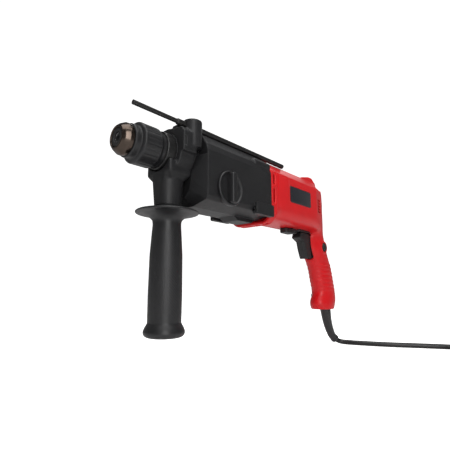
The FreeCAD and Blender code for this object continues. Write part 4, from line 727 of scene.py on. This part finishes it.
def drafted_block(name, centre, wide, tall, deep, draft, corner, around=8):
    """A block with rounded corners in plan, standing out along -y, narrower at its crown."""
    bm = bmesh.new()
    rings = []
    for out, shrink in ((0.0, 0.0), (deep * 0.55, draft * 0.5), (deep - 0.9, draft * 0.9),
                        (deep - 0.2, draft + 0.5), (deep, draft + 1.3)):
        ring = []
        for cx, cz, start in ((1, 1, 0), (-1, 1, 90), (-1, -1, 180), (1, -1, 270)):
            for k in range(around + 1):
                angle = math.radians(start + 90 * k / around)
                x = cx * (wide / 2 - corner) + (corner - shrink) * math.cos(angle)
                z = cz * (tall / 2 - corner) + (corner - shrink) * math.sin(angle)
                ring.append(bm.verts.new(centre + Vector((x, -out, z)) * MM))
        rings.append(ring)
    for one, two in zip(rings, rings[1:]):
        for k in range(len(one)):
            bm.faces.new((one[k], one[(k + 1) % len(one)], two[(k + 1) % len(one)], two[k]))
    bm.faces.new(rings[-1])
    bmesh.ops.recalc_face_normals(bm, faces=bm.faces)
    return as_piece(name, bm)


knob_bar = drafted_block("mode_knob_bar", knob_at + Vector((0, -2.2 * MM, 0)), 9.0, 36.0, 8.6, 0.9,
                         2.9)
for piece in (knob_dish, knob_bar):
    dress(piece, black_moulding, "mode_knob", "black_plastic")
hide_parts("mode_knob")

# %% [markdown]
# ## Bosses on the gear housing
#
# The long screws that hold the two castings together run through swellings along the upper
# bevels. They are simple turned fingers, sunk into the casting so only a part stands proud.

# %% Raise the screw bosses
for side, label in ((-1, "left"), (1, "right")):
    boss = turned("upper_boss_" + label, eased([(0.0, 0.0), (0.2, 4.6), (2.4, 6.8), (5.0, 7.2),
                                                (joint_x - 170.2, 7.2), (joint_x - 170.1, 0.0)], 1.2, 4),
                  place(170.0, side * 27.5, 12.5), (1, 0, 0), 64)
    dress(boss, black_casting, "housing", "black_castings")

# %% [markdown]
# ## Trigger, reversing lever and lock button
#
# Fingers touch these, so they are soft-edged. Trigger and lever are moulded from their solids;
# the lever gets ribs across its underside for the thumb. The lock button is a small domed
# plug with a groove round it, so it is turned.

# %% Mould the trigger and the lever
def trigger_shape(p, n):
    x, y, z = p.T
    return -0.35 * np.exp(-((y + 3.2) / 0.7) ** 2) * (n[:, 0] < -0.4)


trigger = moulded("trigger_moulding", ["trigger"], 0.5, 7, None, trigger_shape)
dress(trigger, black_moulding, "trigger", "black_plastic", "trigger")


def lever_shape(p, n):
    x, y, z = p.T
    ribs = 0.5 + 0.5 * np.cos(2 * math.pi * x / 3.0)
    return 0.45 * ribs * ramp(-z, 55.5, 57.0) * inside(x, 286, 309, 1.0)


lever = moulded("direction_lever_moulding", ["direction_lever"], 0.5, 4, None, lever_shape)
dress(lever, black_moulding, "direction_lever", "black_plastic", "direction_lever")

# %% Turn the lock button
lock_low, lock_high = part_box("lock_button")
lock_at = Vector(((lock_low.x + lock_high.x) / 2, lock_high.y, (lock_low.z + lock_high.z) / 2))
lock_long = (lock_high.y - lock_low.y) / MM
lock_button = turned("lock_button_dome", eased([(0.0, 0.0), (0.0, 6.9), (lock_long - 1.6, 6.9),
                                                (lock_long - 0.5, 6.2), (lock_long - 0.5, 4.6),
                                                (lock_long - 0.9, 4.2), (lock_long - 0.3, 2.6),
                                                (lock_long - 0.1, 0.0)], 0.4, 3), lock_at, (0, -1, 0), 72)
dress(lock_button, black_moulding, "lock_button", "black_plastic", "lock_button")

# %% [markdown]
# ## Plate, pads and strap
#
# A blank gloss plate with rounded corners sits in a shallow recess. The pad behind the hump and
# the strap down the grip's back are rubber inserts, relaxed so that their edges roll over; the
# strap has fine cross ribs.

# %% Cut the plate
plate_low, plate_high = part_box("name_plate")
plate_mid = (plate_low + plate_high) / 2
plate_wide = (plate_high.x - plate_low.x) / MM
plate_tall = (plate_high.z - plate_low.z) / MM
plate_deep = (plate_high.y - plate_low.y) / MM
name_plate = drafted_block("name_plate_blank", Vector((plate_mid.x, plate_high.y, plate_mid.z)),
                           plate_wide, plate_tall, plate_deep, 0.0, 2.4)
dress(name_plate, plate_film, "housing", "plate", "name_plate")


# %% Mould the rubber inserts
def strap_ribs(p, n):
    x, y, z = p.T
    return 0.25 * np.cos(2 * math.pi * z / 2.8) * (n[:, 0] > 0.3) * inside(z, -64, -20, 1.5)


back_strap = moulded("grip_strap_rubber", ["grip_backstrap"], 0.45, 3, None, strap_ribs)
dress(back_strap, soft_rubber, "housing", "black_rubber", "grip_backstrap")
rear_pad = moulded("rear_pad_rubber", ["rear_pad"], 0.5, 6)
dress(rear_pad, soft_rubber, "housing", "black_rubber", "rear_pad")

# %% [markdown]
# ## The cord's sleeve, plug and tie
#
# Where the lead leaves the grip a long rubber sleeve keeps it from kinking. It tapers, bends
# back with the cord and ends in a thicker lip. A sweep is the natural way: rings of changing
# radius stood across a curved line. The plug at the far end is turned, and its pins stay as
# they are.

# %% Sweep the sleeve
SLEEVE_LINE = [(408.5, 0.0, -175.0, 8.8), (408.8, 0.0, -180.5, 8.8), (410.2, 0.0, -187.0, 8.5),
               (413.0, 0.0, -198.5, 7.8), (418.3, 0.0, -211.0, 7.2), (425.2, -0.5, -222.8, 6.6),
               (429.3, -1.4, -227.6, 6.4), (432.5, -2.3, -230.7, 6.9), (434.3, -2.8, -232.4, 6.6),
               (435.0, -3.1, -233.0, 5.0)]


def swept(name, stations, around=48, fine=5):
    """Rings across a smooth line through stations of x, y, z and radius in mm."""
    line = [Vector(s) for s in stations]
    smooth = []
    for i in range(len(line) - 1):
        a, b = line[max(i - 1, 0)], line[i]
        c, d = line[i + 1], line[min(i + 2, len(line) - 1)]
        for k in range(fine):
            t = k / fine
            smooth.append(0.5 * (2 * b + (c - a) * t + (2 * a - 5 * b + 4 * c - d) * t * t
                                 + (3 * b - a - 3 * c + d) * t ** 3))
    smooth.append(line[-1])
    bm = bmesh.new()
    rings = []
    for i, s in enumerate(smooth):
        ahead = (smooth[min(i + 1, len(smooth) - 1)] - smooth[max(i - 1, 0)]).xyz.normalized()
        cross = ahead.cross(Vector((0, 1, 0))).normalized()
        other = ahead.cross(cross)
        ring = []
        for k in range(around):
            angle = 2 * math.pi * k / around
            way = cross * math.cos(angle) + other * math.sin(angle)
            ring.append(bm.verts.new(place(s.x, s.y, s.z) + way * (s.w * MM)))
        rings.append(ring)
    for one, two in zip(rings, rings[1:]):
        for k in range(around):
            bm.faces.new((one[k], one[(k + 1) % around], two[(k + 1) % around], two[k]))
    bm.faces.new(rings[0])
    bm.faces.new(rings[-1])
    bmesh.ops.recalc_face_normals(bm, faces=bm.faces)
    return as_piece(name, bm)


cord_sleeve = swept("cord_sleeve", SLEEVE_LINE)
dress(cord_sleeve, gloss_rubber, "housing", "black_rubber", "strain_relief")


# %% Turn the plug
def plug_shape(a, angle):
    grip = float(inside(np.array(a), 19.0, 33.0, 1.0))
    return -1.1 * grip * max(0.0, math.cos(12 * angle)) ** 2


plug_outline = eased([(-1.0, 4.2), (0.0, 5.4), (2.6, 5.6), (2.9, 6.6), (4.6, 6.8), (4.9, 6.0), (6.8, 6.3),
                      (7.1, 7.6), (8.8, 7.9), (9.1, 7.2), (11.0, 8.0), (14.5, 12.6), (17.5, 15.6),
                      (20.0, 16.4), (33.0, 16.4), (36.5, 16.4), (37.8, 15.4), (38.0, 0.0)], 0.6, 3)
plug = turned("mains_plug", ringed(plug_outline, 1.2), place(*TAIL[-1]), (-1, 0, 0), 144, plug_shape)
dress(plug, soft_rubber, "housing", "black_plastic", "plug_body")
tie = moulded("cord_tie_strap", ["cord_tie"], 0.45, 5)
dress(tie, soft_rubber, "housing", "black_plastic", "cord_tie")

mains_lead.data.materials.append(cord_sheath)
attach(mains_lead, "housing")
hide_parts("cord_lead", "cord_coil", "cord_tail")

# %% [markdown]
# ## The size of the dressed tool
#
# The dressed tool must stay the size of its solids, so both boxes are printed side by side.

# %% Finish
dressed_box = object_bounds()
for axis, a, b in zip("xyz", solid_box, dressed_box):
    print(axis, [round(v, 4) for v in a], [round(v, 4) for v in b])
